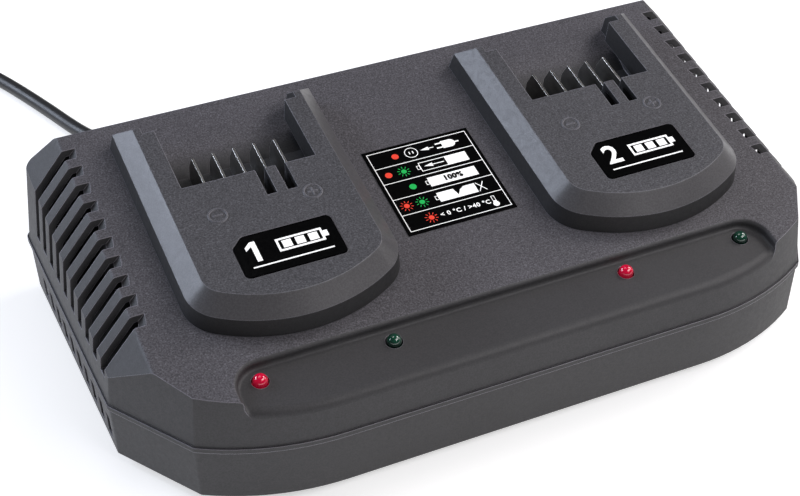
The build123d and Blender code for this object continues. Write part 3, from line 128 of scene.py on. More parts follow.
# ---------------------------------------------------------------- settings
class ChargerFinish(bpy.types.PropertyGroup):
    """Colours and grain of the moulded plastic."""
    deck_colour: FloatVectorProperty(
        name="Deck", description="Grained plastic of the deck", subtype="COLOR",
        size=3, min=0, max=1, default=(0.089, 0.0845, 0.095))
    dock_colour: FloatVectorProperty(
        name="Dock", description="Textured top faces of the docks", subtype="COLOR",
        size=3, min=0, max=1, default=(0.073, 0.072, 0.080))
    side_colour: FloatVectorProperty(
        name="Sides", description="Smoother plastic of the upright faces", subtype="COLOR",
        size=3, min=0, max=1, default=(0.046, 0.0445, 0.047))
    grain: FloatProperty(
        name="Grain", description="Width of the grains of the moulded texture", unit="LENGTH",
        min=0.0002, max=0.003, default=0.00055)
    grain_depth: FloatProperty(
        name="Grain depth", description="Depth of the moulded texture", unit="LENGTH",
        min=0.0, max=0.0005, default=0.00009)
    # edge_round rounds the shading normal and also sets the width of the painted highlight along the edges
    edge_round: FloatProperty(
        name="Edge rounding", description="Rounding that catches light along the moulded edges",
        unit="LENGTH", min=0.0, max=0.002, default=0.00045)


class ChargerPrint(bpy.types.PropertyGroup):
    """Inks and line weights of the printed legends."""
    film_colour: FloatVectorProperty(
        name="Film", description="Black film of the legends", subtype="COLOR",
        size=3, min=0, max=1, default=(0.0022, 0.0022, 0.0024))
    white: FloatVectorProperty(
        name="White ink", description="Lines, numbers and symbols", subtype="COLOR",
        size=3, min=0, max=1, default=(0.92, 0.92, 0.91))
    red: FloatVectorProperty(
        name="Red ink", description="Marks that stand for a red lamp", subtype="COLOR",
        size=3, min=0, max=1, default=(0.80, 0.060, 0.035))
    green: FloatVectorProperty(
        name="Green ink", description="Marks that stand for a green lamp", subtype="COLOR",
        size=3, min=0, max=1, default=(0.015, 0.42, 0.085))
    line: FloatProperty(
        name="Line", description="Width of the printed lines", unit="LENGTH",
        min=0.0001, max=0.001, default=0.00028)
    # painted light: the glow makes the inks shine by themselves, so that they stay bright in the shade
    glow: FloatProperty(
        name="Ink glow", description="How much the inks stand out in the shade", min=0, max=2, default=0.4)


class ChargerLamps(bpy.types.PropertyGroup):
    """Colours of the indicator lamps."""
    red: FloatVectorProperty(
        name="Red lens", description="Lens of the red lamps", subtype="COLOR",
        size=3, min=0, max=1, default=(0.70, 0.002, 0.045))
    green: FloatVectorProperty(
        name="Green lens", description="Lens of the green lamps, unlit", subtype="COLOR",
        size=3, min=0, max=1, default=(0.006, 0.075, 0.042))


class ChargerCord(bpy.types.PropertyGroup):
    """Mains cord and plug."""
    colour: FloatVectorProperty(
        name="Cord", description="Jacket of the mains cord", subtype="COLOR",
        size=3, min=0, max=1, default=(0.022, 0.022, 0.023))
    plug_colour: FloatVectorProperty(
        name="Plug", description="Moulded plug", subtype="COLOR",
        size=3, min=0, max=1, default=(0.020, 0.020, 0.021))
    strap_colour: FloatVectorProperty(
        name="Strap", description="Woven strap round the coil", subtype="COLOR",
        size=3, min=0, max=1, default=(0.042, 0.042, 0.044))


class ChargerStage(bpy.types.PropertyGroup):
    """Studio floor and lights."""
    floor_colour: FloatVectorProperty(
        name="Floor", description="Studio floor", subtype="COLOR",
        size=3, min=0, max=1, default=(0.80, 0.80, 0.80))
    floor_glow: FloatProperty(
        name="Floor glow", description="Light that comes up through the floor",
        min=0, max=2, default=0.55)
    glow_reach: FloatVectorProperty(
        name="Glow reach", description="Distances at which the floor's glow starts and stops to fade",
        size=2, min=0, max=5, unit="LENGTH", default=(0.28, 0.50))
    key_power: FloatProperty(
        name="Key light", description="Power of the light at the right", min=0, max=50, default=6.8)
    side_power: FloatProperty(
        name="Side light", description="Power of the cool light at the back left",
        min=0, max=50, default=13.6)
    top_power: FloatProperty(
        name="Top light", description="Power of the overhead light", min=0, max=50, default=1.3)
    rim_power: FloatProperty(
        name="Rim light", description="Power of the low light at the right", min=0, max=50, default=1.1)
    front_power: FloatProperty(
        name="Front light", description="Power of the light above the front", min=0, max=50, default=4.6)
    ambient: FloatProperty(
        name="Ambient", description="Strength of the even light all round", min=0, max=2, default=0.06)


SETTINGS = {
    "charger_finish": ChargerFinish,
    "charger_print": ChargerPrint,
    "charger_lamps": ChargerLamps,
    "charger_cord": ChargerCord,
    "charger_stage": ChargerStage,
}


# ---------------------------------------------------------------- materials
class Shader:
    """A material's node tree with short ways to add nodes and join them."""
    BEVEL_SAMPLES = 6

    def __init__(self, name):
        self.material = bpy.data.materials.new(name)
        self.material.use_nodes = True
        self.tree = self.material.node_tree
        self.tree.nodes.clear()
        self.output = self.add("OutputMaterial")
        self.place = self.add("TexCoord").outputs["Object"]

    def give(self, socket, value):
        """Gives a socket a number, a colour or another node's output."""
        if isinstance(value, bpy.types.NodeSocket):
            self.tree.links.new(value, socket)
        elif socket.type == "RGBA":
            socket.default_value = (*value, 1.0)
        else:
            socket.default_value = value

    def add(self, kind, operation=None, **inputs):
        """A new node; the names of its inputs have underscores for spaces."""
        node = self.tree.nodes.new("ShaderNode" + kind)
        if operation:
            node.operation = operation
        for name, value in inputs.items():
            self.give(node.inputs[name.replace("_", " ")], value)
        return node

    def noise(self, size, detail=2.0, roughness=0.5):
        """Noise whose blotches are about size across."""
        return self.add("TexNoise", Vector=self.place, Scale=1 / size, Detail=detail,
                        Roughness=roughness).outputs["Fac"]

    def waves(self, direction, scale, distortion, detail=2.0):
        """Bands across one direction."""
        node = self.add("TexWave", Vector=self.place, Scale=scale, Distortion=distortion, Detail=detail)
        node.bands_direction = direction
        return node.outputs["Fac"]

    def remap(self, value, low, high, to_low=0.0, to_high=1.0):
        """Maps a range of values to another, clamped."""
        return self.add("MapRange", Value=value, From_Min=low, From_Max=high, To_Min=to_low,
                        To_Max=to_high).outputs["Result"]

    def math(self, operation, a, b=0.0):
        """A sum, product or the like of two numbers, each a number or another node's output."""
        node = self.add("Math", operation)
        self.give(node.inputs[0], a)
        self.give(node.inputs[1], b)
        return node.outputs[0]

    def mix(self, factor, first, second):
        """Mixes two colours, each a colour or another node's output."""
        node = self.tree.nodes.new("ShaderNodeMix")
        node.data_type = "RGBA"
        for place, value in ((0, factor), (6, first), (7, second)):
            self.give(node.inputs[place], value)
        return node.outputs[2]

    def shade(self, colour, amount):
        """The same colour, lighter or darker."""
        return tuple(min(c * amount, 1.0) for c in colour)

    def scale(self, colour, amount):
        """A colour socket times a number socket."""
        return self.add("VectorMath", "SCALE", Vector=colour, Scale=amount).outputs["Vector"]

    def upward(self):
        """How far the surface faces up."""
        return self.add("SeparateXYZ", Vector=self.add("TexCoord").outputs["Normal"]).outputs["Z"]

    def over_deck(self):
        """Height over the sloping plane of the deck."""
        parts = self.add("SeparateXYZ", Vector=self.place).outputs
        risen = self.math("SUBTRACT", parts["Z"], DECK_HEIGHT)
        return self.math("SUBTRACT", self.math("MULTIPLY", risen, math.cos(DECK_TILT)),
                         self.math("MULTIPLY", parts["Y"], math.sin(DECK_TILT)))

    def rounded(self, radius):
        """Surface normal with the edges rounded off."""
        node = self.add("Bevel", Radius=radius)
        node.samples = self.BEVEL_SAMPLES
        return node.outputs["Normal"]

    def edges(self, radius):
        """1 along the edges, 0 on the flats, from how far the rounded normal leaves the true one."""
        same = self.add("VectorMath", "DOT_PRODUCT")
        self.give(same.inputs[0], self.rounded(radius))
        self.give(same.inputs[1], self.add("NewGeometry").outputs["Normal"])
        away = self.math("SUBTRACT", 1.0, same.outputs["Value"])
        return self.math("MINIMUM", self.math("MULTIPLY", away, EDGE_GAIN), 1.0)

    def bump(self, height, distance, normal=None):
        """Surface normal with a relief, on the true normal or on the given one."""
        node = self.add("Bump", Height=height, Distance=distance, Strength=1.0)
        if normal is not None:
            self.give(node.inputs["Normal"], normal)
        return node.outputs["Normal"]

    def finish(self, **inputs):
        """Ends the material with the one shader that takes these inputs."""
        self.give(self.output.inputs["Surface"], self.add("BsdfPrincipled", **inputs).outputs["BSDF"])
        return self.material


def moulded_plastic(name, flat_colour, side_colour, finish, satin=0.52, painted_slope_light=1.0, painted_wall_shade=1.0):
    """Spark-eroded plastic: speckled on the deck with painted glints, smooth on the other faces, with a
    painted highlight along the edges.

    The sloping faces and the lamp strip have the satin roughness; two factors scale the colour of the
    sloping and the upright faces, as painted light on the sloping faces and painted shade on the upright
    ones.
    """
    s = Shader(name)
    deck = s.math("MULTIPLY", s.remap(s.upward(), *FLAT_FROM), s.remap(s.over_deck(), *STRIP_FROM))
    fine = s.noise(finish.grain, 2.0, 0.6)
    coarse = s.noise(finish.grain * 3.0, 2.0)
    speckle = s.remap(fine, 0.36, 0.64)
    flats = s.mix(speckle, s.shade(flat_colour, 0.56), s.shade(flat_colour, 1.40))
    # painted glints: random dots mixed towards a much lighter copy of the deck colour, standing in for
    # highlights on the grain
    painted_glints = s.remap(s.noise(finish.grain * 1.2, 1.0), 0.60, 0.72, 0.0, 0.55)
    flats = s.mix(painted_glints, flats, s.shade(flat_colour, 2.4))
    uprights = s.mix(speckle, s.shade(side_colour, 0.86), s.shade(side_colour, 1.14))
    # painted light and shade: the colour scaled up on sloping faces and down on upright ones, by how far
    # they face up
    uprights = s.scale(uprights, s.remap(s.upward(), *SLOPE_PAINTED_LIGHT_FROM, painted_wall_shade, painted_slope_light))
    wear = s.remap(s.noise(30 * MM, 4.0), 0.3, 0.7, 0.93, 1.07)
    # painted highlight: along the edges the colour is mixed towards a copy of the deck colour 3.8 times
    # lighter
    painted_edge_highlight = s.math("MULTIPLY", s.edges(finish.edge_round), 0.9)
    colour = s.mix(painted_edge_highlight, s.scale(s.mix(deck, uprights, flats), wear), s.shade(flat_colour, 3.8))
    height = s.math("ADD", s.math("MULTIPLY", fine, 0.7), s.math("MULTIPLY", coarse, 0.5))
    relief = s.math("MULTIPLY", height, s.remap(deck, 0.0, 1.0, 0.22, 1.0))
    bumped = s.bump(relief, finish.grain_depth, s.rounded(finish.edge_round))
    sloping = s.math("MULTIPLY", s.remap(s.upward(), *SLOPE_FROM), s.remap(deck, 0.0, 1.0, 1.0, 0.0))
    smooth = s.remap(sloping, 0.0, 1.0, 0.56, satin)
    rough = s.math("ADD", smooth, s.remap(coarse, 0.3, 0.7, -0.04, 0.06))
    return s.finish(Base_Color=colour, Roughness=rough, Normal=bumped, IOR=1.46)


def plain_plastic(name, colour, roughness=0.5, grain=0.0006, depth=0.00002, coat=0.0):
    """Moulded plastic with a faint even grain."""
    s = Shader(name)
    fine = s.noise(grain, 3.0, 0.6)
    shade = s.mix(s.remap(fine, 0.35, 0.65), s.shade(colour, 0.86), s.shade(colour, 1.14))
    rough = s.remap(s.noise(grain * 8), 0.3, 0.7, roughness - 0.04, roughness + 0.05)
    return s.finish(Base_Color=shade, Roughness=rough, Normal=s.bump(fine, depth), Coat_Weight=coat,
                    Coat_Roughness=0.08)


def brushed_metal(name, colour, roughness=0.28, along=(1.0, 1.0, 30.0), flats=1.0):
    """Metal drawn in one direction, with fine scratches and a little tarnish.

    A factor scales the colour of the flats, as painted shade where it is below one; the edges keep the full
    colour as a painted highlight.
    """
    s = Shader(name)
    mapping = s.add("Mapping", Vector=s.place, Scale=along)
    lines = s.add("TexNoise", Vector=mapping.outputs["Vector"], Scale=900.0, Detail=4.0).outputs["Fac"]
    tarnish = s.remap(s.noise(0.004, 3.0), 0.35, 0.7)
    shade = s.mix(tarnish, s.shade(colour, flats), s.shade(colour, 0.72 * flats))
    # painted highlight: the edges mixed back to the full colour, lighter than the flats
    shade = s.mix(s.edges(0.25 * MM), shade, colour)
    rough = s.remap(lines, 0.3, 0.7, roughness - 0.07, roughness + 0.12)
    return s.finish(Base_Color=shade, Roughness=rough, Metallic=1.0,
                    Normal=s.bump(lines, 0.000006, s.rounded(0.2 * MM)))


def lens(name, colour, glow=0.0):
    """Tinted clear epoxy, a little cloudy inside, with painted shade where it faces sideways at its foot; a
    glow adds painted light.
    """
    s = Shader(name)
    clouds = s.noise(0.0012, 2.0)
    core = s.mix(s.remap(clouds, 0.35, 0.65), s.shade(colour, 0.75), s.shade(colour, 1.2))
    # painted shade: the lens darkened to 0.35 of its colour where it faces sideways
    shade = s.mix(s.remap(s.upward(), 0.0, 0.6), s.shade(colour, 0.35), core)
    cloud = s.remap(clouds, 0.3, 0.7, 0.04, 0.10)
    return s.finish(Base_Color=shade, Roughness=cloud, Coat_Weight=1.0, Coat_Roughness=0.03,
                    Transmission_Weight=0.12, IOR=1.54, Emission_Color=colour,
                    Emission_Strength=glow)


def film(name, colour, roughness, specular=0.35, glow=0.0):
    """Printed plastic film: nearly even, with faint mottling in its gloss; a glow paints light into an ink.
    """
    s = Shader(name)
    mottle = s.noise(0.0011, 3.0)
    shade = s.mix(s.remap(mottle, 0.35, 0.65), s.shade(colour, 0.9), s.shade(colour, 1.1))
    rough = s.remap(mottle, 0.3, 0.7, roughness - 0.04, roughness + 0.05)
    return s.finish(Base_Color=shade, Roughness=rough, Normal=s.bump(mottle, 0.000004),
                    Specular_IOR_Level=specular, Emission_Color=colour, Emission_Strength=glow)


def woven(name, colour):
    """Coarse woven tape."""
    s = Shader(name)
    weave = s.math("MULTIPLY", s.waves("X", 420.0, 0.8, 1.0), s.waves("DIAGONAL", 420.0, 0.8, 1.0))
    shade = s.mix(weave, s.shade(colour, 0.55), s.shade(colour, 1.5))
    return s.finish(Base_Color=shade, Roughness=s.remap(weave, 0.0, 1.0, 0.9, 0.7),
                    Normal=s.bump(weave, 0.00012))


def clear_glass(name):
    """Glass tube, very slightly cloudy."""
    s = Shader(name)
    cloud = s.noise(0.002, 2.0)
    shade = s.mix(cloud, (0.84, 0.88, 0.88), (0.94, 0.96, 0.96))
    return s.finish(Base_Color=shade, Roughness=s.remap(cloud, 0.3, 0.7, 0.02, 0.07), IOR=1.5,
                    Transmission_Weight=0.9)


def circuit_board(name):
    """Green solder mask with paler copper tracks under it."""
    s = Shader(name)
    tracks = s.add("TexBrick", Vector=s.place, Scale=160.0).outputs["Fac"]
    weave = s.noise(0.0005, 2.0)
    base = s.mix(tracks, (0.010, 0.085, 0.030), (0.028, 0.160, 0.060))
    shade = s.mix(s.remap(weave, 0.35, 0.65, 0.0, 0.4), base, (0.006, 0.060, 0.022))
    return s.finish(Base_Color=shade, Roughness=s.remap(weave, 0.3, 0.7, 0.28, 0.42),
                    Normal=s.bump(tracks, 0.00003))


def wound_tape(name, colour):
    """Polyester tape wound over a coil, layer on layer."""
    s = Shader(name)
    turns = s.waves("Z", 60.0, 0.4)
    shade = s.mix(turns, s.shade(colour, 0.75), colour)
    return s.finish(Base_Color=shade, Roughness=s.remap(turns, 0.0, 1.0, 0.34, 0.22),
                    Normal=s.bump(turns, 0.0001))


def stacked_steel(name):
    """Edges of the laminations of a transformer core."""
    s = Shader(name)
    sheets = s.waves("Y", 300.0, 0.2)
    rust = s.remap(s.noise(0.006, 4.0), 0.45, 0.7)
    steel = s.mix(sheets, (0.07, 0.075, 0.085), (0.20, 0.21, 0.23))
    shade = s.mix(s.math("MULTIPLY", rust, 0.25), steel, (0.16, 0.07, 0.03))
    return s.finish(Base_Color=shade, Roughness=0.5, Metallic=0.7, Normal=s.bump(sheets, 0.0001))


def paint(piece, material):
    """Gives an object one material."""
    piece.data.materials.clear()
    piece.data.materials.append(material)


def paint_nodes(material, *names):
    """Gives the packed pieces one material."""
    for name in names:
        paint(NODES[name], material)


# ---------------------------------------------------------------- meshes
def around(x, y, radius, turn):
    """Point on a circle, at an angle."""
    return x + radius * math.cos(turn), y + radius * math.sin(turn)


def new_piece(name, mesh, material):
    """Puts a finished mesh in the scene, painted, as a part of the case's body."""
    piece = bpy.data.objects.new(name, mesh)
    bpy.context.scene.collection.objects.link(piece)
    paint(piece, material)
    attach(piece, "root")
    return piece


def top_plane(node):
    """Work plane in the middle of the top face of a thin packed plate, and the plate's length and width."""
    mesh = NODES[node].data
    facing_up = [p for p in mesh.polygons if p.normal.z > 0.5]
    largest = max(facing_up, key=lambda p: p.area)
    z_axis = largest.normal.normalized()
    x_axis = Vector((1, 0, 0))
    y_axis = z_axis.cross(x_axis)
    top = max(v.co.dot(z_axis) for v in mesh.vertices)
    across = [v.co.x for v in mesh.vertices]
    along = [v.co.dot(y_axis) for v in mesh.vertices]
    middle = (x_axis * (min(across) + max(across)) + y_axis * (min(along) + max(along))) / 2
    axes = Matrix((x_axis, y_axis, z_axis)).transposed().to_4x4()
    place = Matrix.Translation(middle + z_axis * top) @ axes
    return place, max(across) - min(across), max(along) - min(along)


class Ink:
    """Flat printed shapes on a work plane, in metres from the middle of the plate."""
    LIFT = 0.01 * MM
    THICKNESS = 0.04 * MM
    FONT_SIZE = 1.35  # over the height of a capital

    def __init__(self, place, lift=0.0):
        self.place = place @ Matrix.Translation((0, 0, lift))
        self.shapes = bmesh.new()

    def polygon(self, points):
        """A filled outline, slightly raised."""
        low = [self.shapes.verts.new(self.place @ Vector((x, y, self.LIFT))) for x, y in points]
        high = [self.shapes.verts.new(self.place @ Vector((x, y, self.LIFT + self.THICKNESS)))
                for x, y in points]
        self.shapes.faces.new(high)
        self.shapes.faces.new(low[::-1])
        count = len(points)
        for i in range(count):
            j = (i + 1) % count
            self.shapes.faces.new((low[i], low[j], high[j], high[i]))

    def bar(self, x, y, width, height, turn=0.0):
        """A filled rectangle round a middle point."""
        c, s = math.cos(turn), math.sin(turn)
        self.polygon([(x + (c * a * width - s * b * height) / 2, y + (s * a * width + c * b * height) / 2)
                      for a, b in ((-1, -1), (1, -1), (1, 1), (-1, 1))])

    def line(self, start, end, width):
        """A straight stroke."""
        (x1, y1), (x2, y2) = start, end
        length = math.hypot(x2 - x1, y2 - y1)
        self.bar((x1 + x2) / 2, (y1 + y2) / 2, length, width, math.atan2(y2 - y1, x2 - x1))

    def box(self, x, y, width, height, line):
        """An outlined rectangle."""
        for side in (-1, 1):
            self.bar(x, y + side * (height - line) / 2, width, line)
            self.bar(x + side * (width - line) / 2, y, line, height - 2 * line)

    def disc(self, x, y, radius, sides=28):
        """A filled circle."""
        self.polygon([around(x, y, radius, 2 * math.pi * i / sides) for i in range(sides)])

    def ring(self, x, y, radius, line, sides=32):
        """A circle drawn with a line."""
        for i in range(sides):
            a, b = 2 * math.pi * i / sides, 2 * math.pi * (i + 1) / sides
            inner = radius - line
            self.polygon([around(x, y, inner, a), around(x, y, radius, a),
                          around(x, y, radius, b), around(x, y, inner, b)])

    def burst(self, x, y, radius, rays=10):
        """A dot with rays: a lamp that blinks."""
        self.disc(x, y, radius * 0.42)
        for i in range(rays):
            turn = 2 * math.pi * (i + 0.5) / rays
            self.line(around(x, y, radius * 0.62, turn), around(x, y, radius, turn), radius * 0.10)

    def words(self, text, x, y, height, weight=0.03, spacing=1.0):
        """Short generic text, centred on a point."""
        curve = bpy.data.curves.new(text, "FONT")
        curve.body = text
        curve.size = height * self.FONT_SIZE
        curve.align_x = "CENTER"
        curve.align_y = "CENTER"
        curve.resolution_u = 3
        curve.extrude = self.THICKNESS / 2
        curve.offset = height * weight
        curve.space_character = spacing
        carrier = bpy.data.objects.new(text, curve)
        bpy.context.scene.collection.objects.link(carrier)
        bpy.context.view_layer.update()
        graph = bpy.context.evaluated_depsgraph_get()
        mesh = bpy.data.meshes.new_from_object(carrier.evaluated_get(graph))
        mesh.transform(self.place @ Matrix.Translation((x, y, self.LIFT + self.THICKNESS / 2)))
        self.shapes.from_mesh(mesh)
        bpy.data.objects.remove(carrier)
        bpy.data.meshes.remove(mesh)

    def piece(self, name, material, slot):
        """Ends the print and returns it as a piece."""
        mesh = bpy.data.meshes.new(name)
        bmesh.ops.recalc_face_normals(self.shapes, faces=self.shapes.faces)
        self.shapes.to_mesh(mesh)
        self.shapes.free()
        return new_piece(name, mesh, material)


# ---------------------------------------------------------------- cord
def ease(t):
    """Smooth step from 0 to 1."""
    t = min(max(t, 0.0), 1.0)
    return t * t * (3 - 2 * t)


def coil_point(angle, radius, height):
    """Control point of the coil, set out a little so that the smooth line runs at the radius."""
    reach = radius / (0.75 + 0.25 * math.cos(2 * math.pi / COIL_TURN_POINTS))
    return (*around(COIL_CENTRE.x, COIL_CENTRE.y, reach, angle), height)


def coil_radius(turn):
    """Radius of the line along the coil: inward on the lower layer, outward on the upper one."""
    radius = COIL_REACH + (COIL_RADII[0] - COIL_REACH) * ease((turn - COIL_FIRST) / COIL_SHIFT)
    for step in range(1, 4):
        radius += (COIL_RADII[step] - COIL_RADII[step - 1]) * ease((turn - step) / COIL_SHIFT + 1)
        radius += (COIL_RADII[3 - step] - COIL_RADII[4 - step]) * ease((turn - 3 - step) / COIL_SHIFT)
    return radius


def coil_height(turn):
    """Height of the line: one diameter up between the two layers, and over the strap's lower side."""
    past_strap = ((COIL_START - STRAP_ANGLE) / (2 * math.pi) + turn + 0.5) % 1.0 - 0.5
    over_strap = STRAP_THICKNESS * ease(1.6 - 8 * abs(past_strap))
    return CORD_FLOOR + 2 * CORD_RADIUS * ease((turn - COIL_CLIMB) / COIL_SHIFT) + over_strap


def coil_points():
    """Control points of the coil, counterclockwise: three and a half turns inward, as many outward above."""
    first, last = round(COIL_FIRST * COIL_TURN_POINTS), round(COIL_LAST * COIL_TURN_POINTS)
    return [coil_point(COIL_START + 2 * math.pi * turn, coil_radius(turn), coil_height(turn))
            for turn in (i / COIL_TURN_POINTS for i in range(first, last + 1))]


def strap_outline(grow=0.0):
    """Points in Y and Z round the coil's section, moved outward, with their outward directions."""
    middle = COIL_CENTRE.y - sum(COIL_RADII) / 4, CORD_FLOOR + CORD_RADIUS + STRAP_THICKNESS
    loop = []
    for corner, sides in enumerate(((1, 1), (-1, 1), (-1, -1), (1, -1))):
        y, z = middle[0] + sides[0] * 3 * CORD_RADIUS, middle[1] + sides[1] * CORD_RADIUS
        for step in range(STRAP_CORNER_STEPS + 1):
            turn = math.pi / 2 * (corner + step / STRAP_CORNER_STEPS)
            loop.append((*around(y, z, CORD_RADIUS + grow, turn), around(0, 0, 1, turn)))
    return loop


def add_band(shapes, loop, closed):
    """A flat band with soft edges along points in Y and Z, its face turned outward."""
    half, thickness = STRAP_WIDTH / 2, STRAP_THICKNESS
    soft = thickness * 0.4
    profile = [(-half + soft, 0), (half - soft, 0), (half, soft), (half, thickness - soft),
               (half - soft, thickness), (-half + soft, thickness), (-half, thickness - soft), (-half, soft)]
    rings = [[shapes.verts.new((COIL_CENTRE.x + x, y + away[0] * out, z + away[1] * out))
              for x, out in profile] for y, z, away in loop]
    pairs = list(zip(rings, rings[1:])) + ([(rings[-1], rings[0])] if closed else [])
    count = len(profile)
    for ring, following in pairs:
        for i in range(count):
            j = (i + 1) % count
            shapes.faces.new((ring[i], ring[j], following[j], following[i]))
    if not closed:
        shapes.faces.new(rings[0][::-1])
        shapes.faces.new(rings[-1])


def strap_mesh():
    """Strap round the coil: a closed band, and its free end laid over the top and the outer side."""
    shapes = bmesh.new()
    add_band(shapes, strap_outline(), closed=True)
    add_band(shapes, strap_outline(STRAP_THICKNESS)[STRAP_FREE_END], closed=False)
    bmesh.ops.recalc_face_normals(shapes, faces=shapes.faces)
    mesh = bpy.data.meshes.new("coil_strap")
    shapes.to_mesh(mesh)
    shapes.free()
    for face in mesh.polygons:
        face.use_smooth = True
    return mesh


def cord_line(name, points, radius):
    """One smooth open line with a round section."""
    curve = bpy.data.curves.new(name, "CURVE")
    curve.dimensions = "3D"
    curve.bevel_depth = radius
    curve.bevel_resolution = 5
    curve.resolution_u = 6
    curve.use_fill_caps = True
    spline = curve.splines.new("NURBS")
    spline.points.add(len(points) - 1)
    for point, place in zip(spline.points, points):
        point.co = (*place, 1.0)
    spline.order_u = 3
    spline.use_endpoint_u = True
    return curve


# ---------------------------------------------------------------- operators
class CHARGER_OT_stage(bpy.types.Operator):
    """Floor, studio lights and camera"""
    bl_idname = "charger.stage"
    bl_label = "Stage"

    def execute(self, context):
        setup = context.scene.charger_stage
        scene = context.scene
        scene.view_settings.view_transform = "Standard"
        self.camera(scene)
        self.floor(setup)
        self.world(scene, setup)
        for name, place, size, power, colour in LIGHTS:
            self.light(name, Vector(place), size, getattr(setup, power), colour)
        return {"FINISHED"}

    def camera(self, scene):
        """Camera from its yaw, elevation and roll."""
        a, e, r = CAMERA_YAW, CAMERA_ELEVATION, CAMERA_ROLL
        back = Vector((math.sin(a) * math.cos(e), -math.cos(a) * math.cos(e), math.sin(e)))
        right = (-back).cross(Vector((0, 0, 1))).normalized()
        down = (-back).cross(right)
        x_axis = math.cos(r) * right + math.sin(r) * down
        y_axis = math.sin(r) * right - math.cos(r) * down
        turn = Matrix((x_axis, y_axis, back)).transposed().to_4x4()
        data = bpy.data.cameras.new("camera")
        data.lens = CAMERA_LENS
        data.sensor_width = CAMERA_SENSOR
        camera = bpy.data.objects.new("camera", data)
        camera.matrix_world = Matrix.Translation(CAMERA_PLACE) @ turn
        scene.collection.objects.link(camera)
        scene.camera = camera

    def floor(self, setup):
        """Pale floor that keeps the shadows; its glow lights the case's foot and makes a white backdrop."""
        mesh = bpy.data.meshes.new("floor")
        shape = bmesh.new()
        bmesh.ops.create_grid(shape, x_segments=2, y_segments=2, size=FLOOR_HALF)
        shape.to_mesh(mesh)
        shape.free()
        floor = bpy.data.objects.new("floor", mesh)
        bpy.context.scene.collection.objects.link(floor)
        s = Shader("studio_floor")
        away = s.add("VectorMath", "LENGTH", Vector=s.place).outputs["Value"]
        near = s.remap(away, *setup.glow_reach, setup.floor_glow, 0.0)
        backdrop = s.remap(away, *BACKDROP_FROM, setup.floor_glow, BACKDROP_WHITE)
        path = s.add("LightPath").outputs
        mirrored = s.math("MAXIMUM", path["Is Glossy Ray"], path["Is Transmission Ray"])
        seen = s.math("MAXIMUM", path["Is Camera Ray"], mirrored)
        glow = s.math("MAXIMUM", near, s.math("MULTIPLY", seen, backdrop))
        paper = s.add("BsdfDiffuse", Color=setup.floor_colour)
        white = s.add("Emission", Color=(1, 1, 1), Strength=glow)
        lit = s.add("AddShader")
        s.give(lit.inputs[0], paper.outputs[0])
        s.give(lit.inputs[1], white.outputs[0])
        s.give(s.output.inputs["Surface"], lit.outputs[0])
        paint(floor, s.material)

    def world(self, scene, setup):
        """Weak even light all round, white where the camera sees it."""
        world = bpy.data.worlds.new("studio")
        world.use_nodes = True
        tree = world.node_tree
        tree.nodes.clear()
        path = tree.nodes.new("ShaderNodeLightPath")
        even = tree.nodes.new("ShaderNodeBackground")
        even.inputs["Color"].default_value = (0.97, 0.98, 1.0, 1)
        even.inputs["Strength"].default_value = setup.ambient
        white = tree.nodes.new("ShaderNodeBackground")
        white.inputs["Color"].default_value = (1, 1, 1, 1)
        white.inputs["Strength"].default_value = 1.0
        choice = tree.nodes.new("ShaderNodeMixShader")
        output = tree.nodes.new("ShaderNodeOutputWorld")
        tree.links.new(path.outputs["Is Camera Ray"], choice.inputs["Fac"])
        tree.links.new(even.outputs[0], choice.inputs[1])
        tree.links.new(white.outputs[0], choice.inputs[2])
        tree.links.new(choice.outputs[0], output.inputs["Surface"])
        scene.world = world

    def light(self, name, place, size, power, colour):
        """A rectangular soft box that faces the charger."""
        data = bpy.data.lights.new(name, "AREA")
        data.shape = "RECTANGLE"
        data.size, data.size_y = size
        data.energy = power
        data.color = colour
        lamp = bpy.data.objects.new(name, data)
        lamp.location = place
        lamp.rotation_euler = (LIGHT_TARGET - place).to_track_quat("-Z", "Y").to_euler()
        bpy.context.scene.collection.objects.link(lamp)


class CHARGER_OT_cord(bpy.types.Operator):
    """Mains cord with its coil, strap, plug and strain relief"""
    bl_idname = "charger.cord"
    bl_label = "Mains cord"

    def execute(self, context):
        look = context.scene.charger_cord
        jacket = plain_plastic("cord_jacket", look.colour, 0.44, 0.0009, 0.00001, coat=0.08)
        moulding = plain_plastic("plug_moulding", look.plug_colour, 0.46, 0.0006, 0.00003)
        points = CORD_ROUTE + coil_points() + TAIL_ROUTE
        cord = bpy.data.objects.new("cord", cord_line("cord", points, CORD_RADIUS))
        context.scene.collection.objects.link(cord)
        paint(cord, jacket)
        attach(cord, "root")
        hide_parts("mains_cord", "cord_coil", "cord_tail")
        paint_nodes(moulding, "plug_body", "strain_relief")
        strap = new_piece("coil_strap", strap_mesh(), woven("strap_weave", look.strap_colour))
        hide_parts("cord_tie")
        brass = brushed_metal("plug_pin_brass", (0.72, 0.60, 0.38), 0.22, (30.0, 1.0, 30.0))
        paint_nodes(brass, "plug_pins")
        length = self.length(cord)
        return {"FINISHED"}

    def length(self, cord):
        """Length of the cord's own line."""
        line = cord.copy()
        line.data = cord.data.copy()
        line.data.bevel_depth = 0
        bpy.context.scene.collection.objects.link(line)
        bpy.context.view_layer.update()
        graph = bpy.context.evaluated_depsgraph_get()
        mesh = bpy.data.meshes.new_from_object(line.evaluated_get(graph))
        points = [v.co for v in mesh.vertices]
        total = sum((b - a).length for a, b in zip(points, points[1:]))
        bpy.data.objects.remove(line)
        bpy.data.meshes.remove(mesh)
        return total


class CHARGER_OT_case(bpy.types.Operator):
    """Finish of the two case shells and the feet"""
    bl_idname = "charger.case"
    bl_label = "Case"

    def execute(self, context):
        finish = context.scene.charger_finish
        for shell in ("upper", "lower"):
            plastic = moulded_plastic(f"case_{shell}", finish.deck_colour, finish.side_colour, finish)
            paint_nodes(plastic, f"{shell}_housing")
        rubber = plain_plastic("foot_rubber", (0.018, 0.018, 0.019), 0.75, 0.0005, 0.00006)
        paint_nodes(rubber, "rubber_feet")
        return {"FINISHED"}


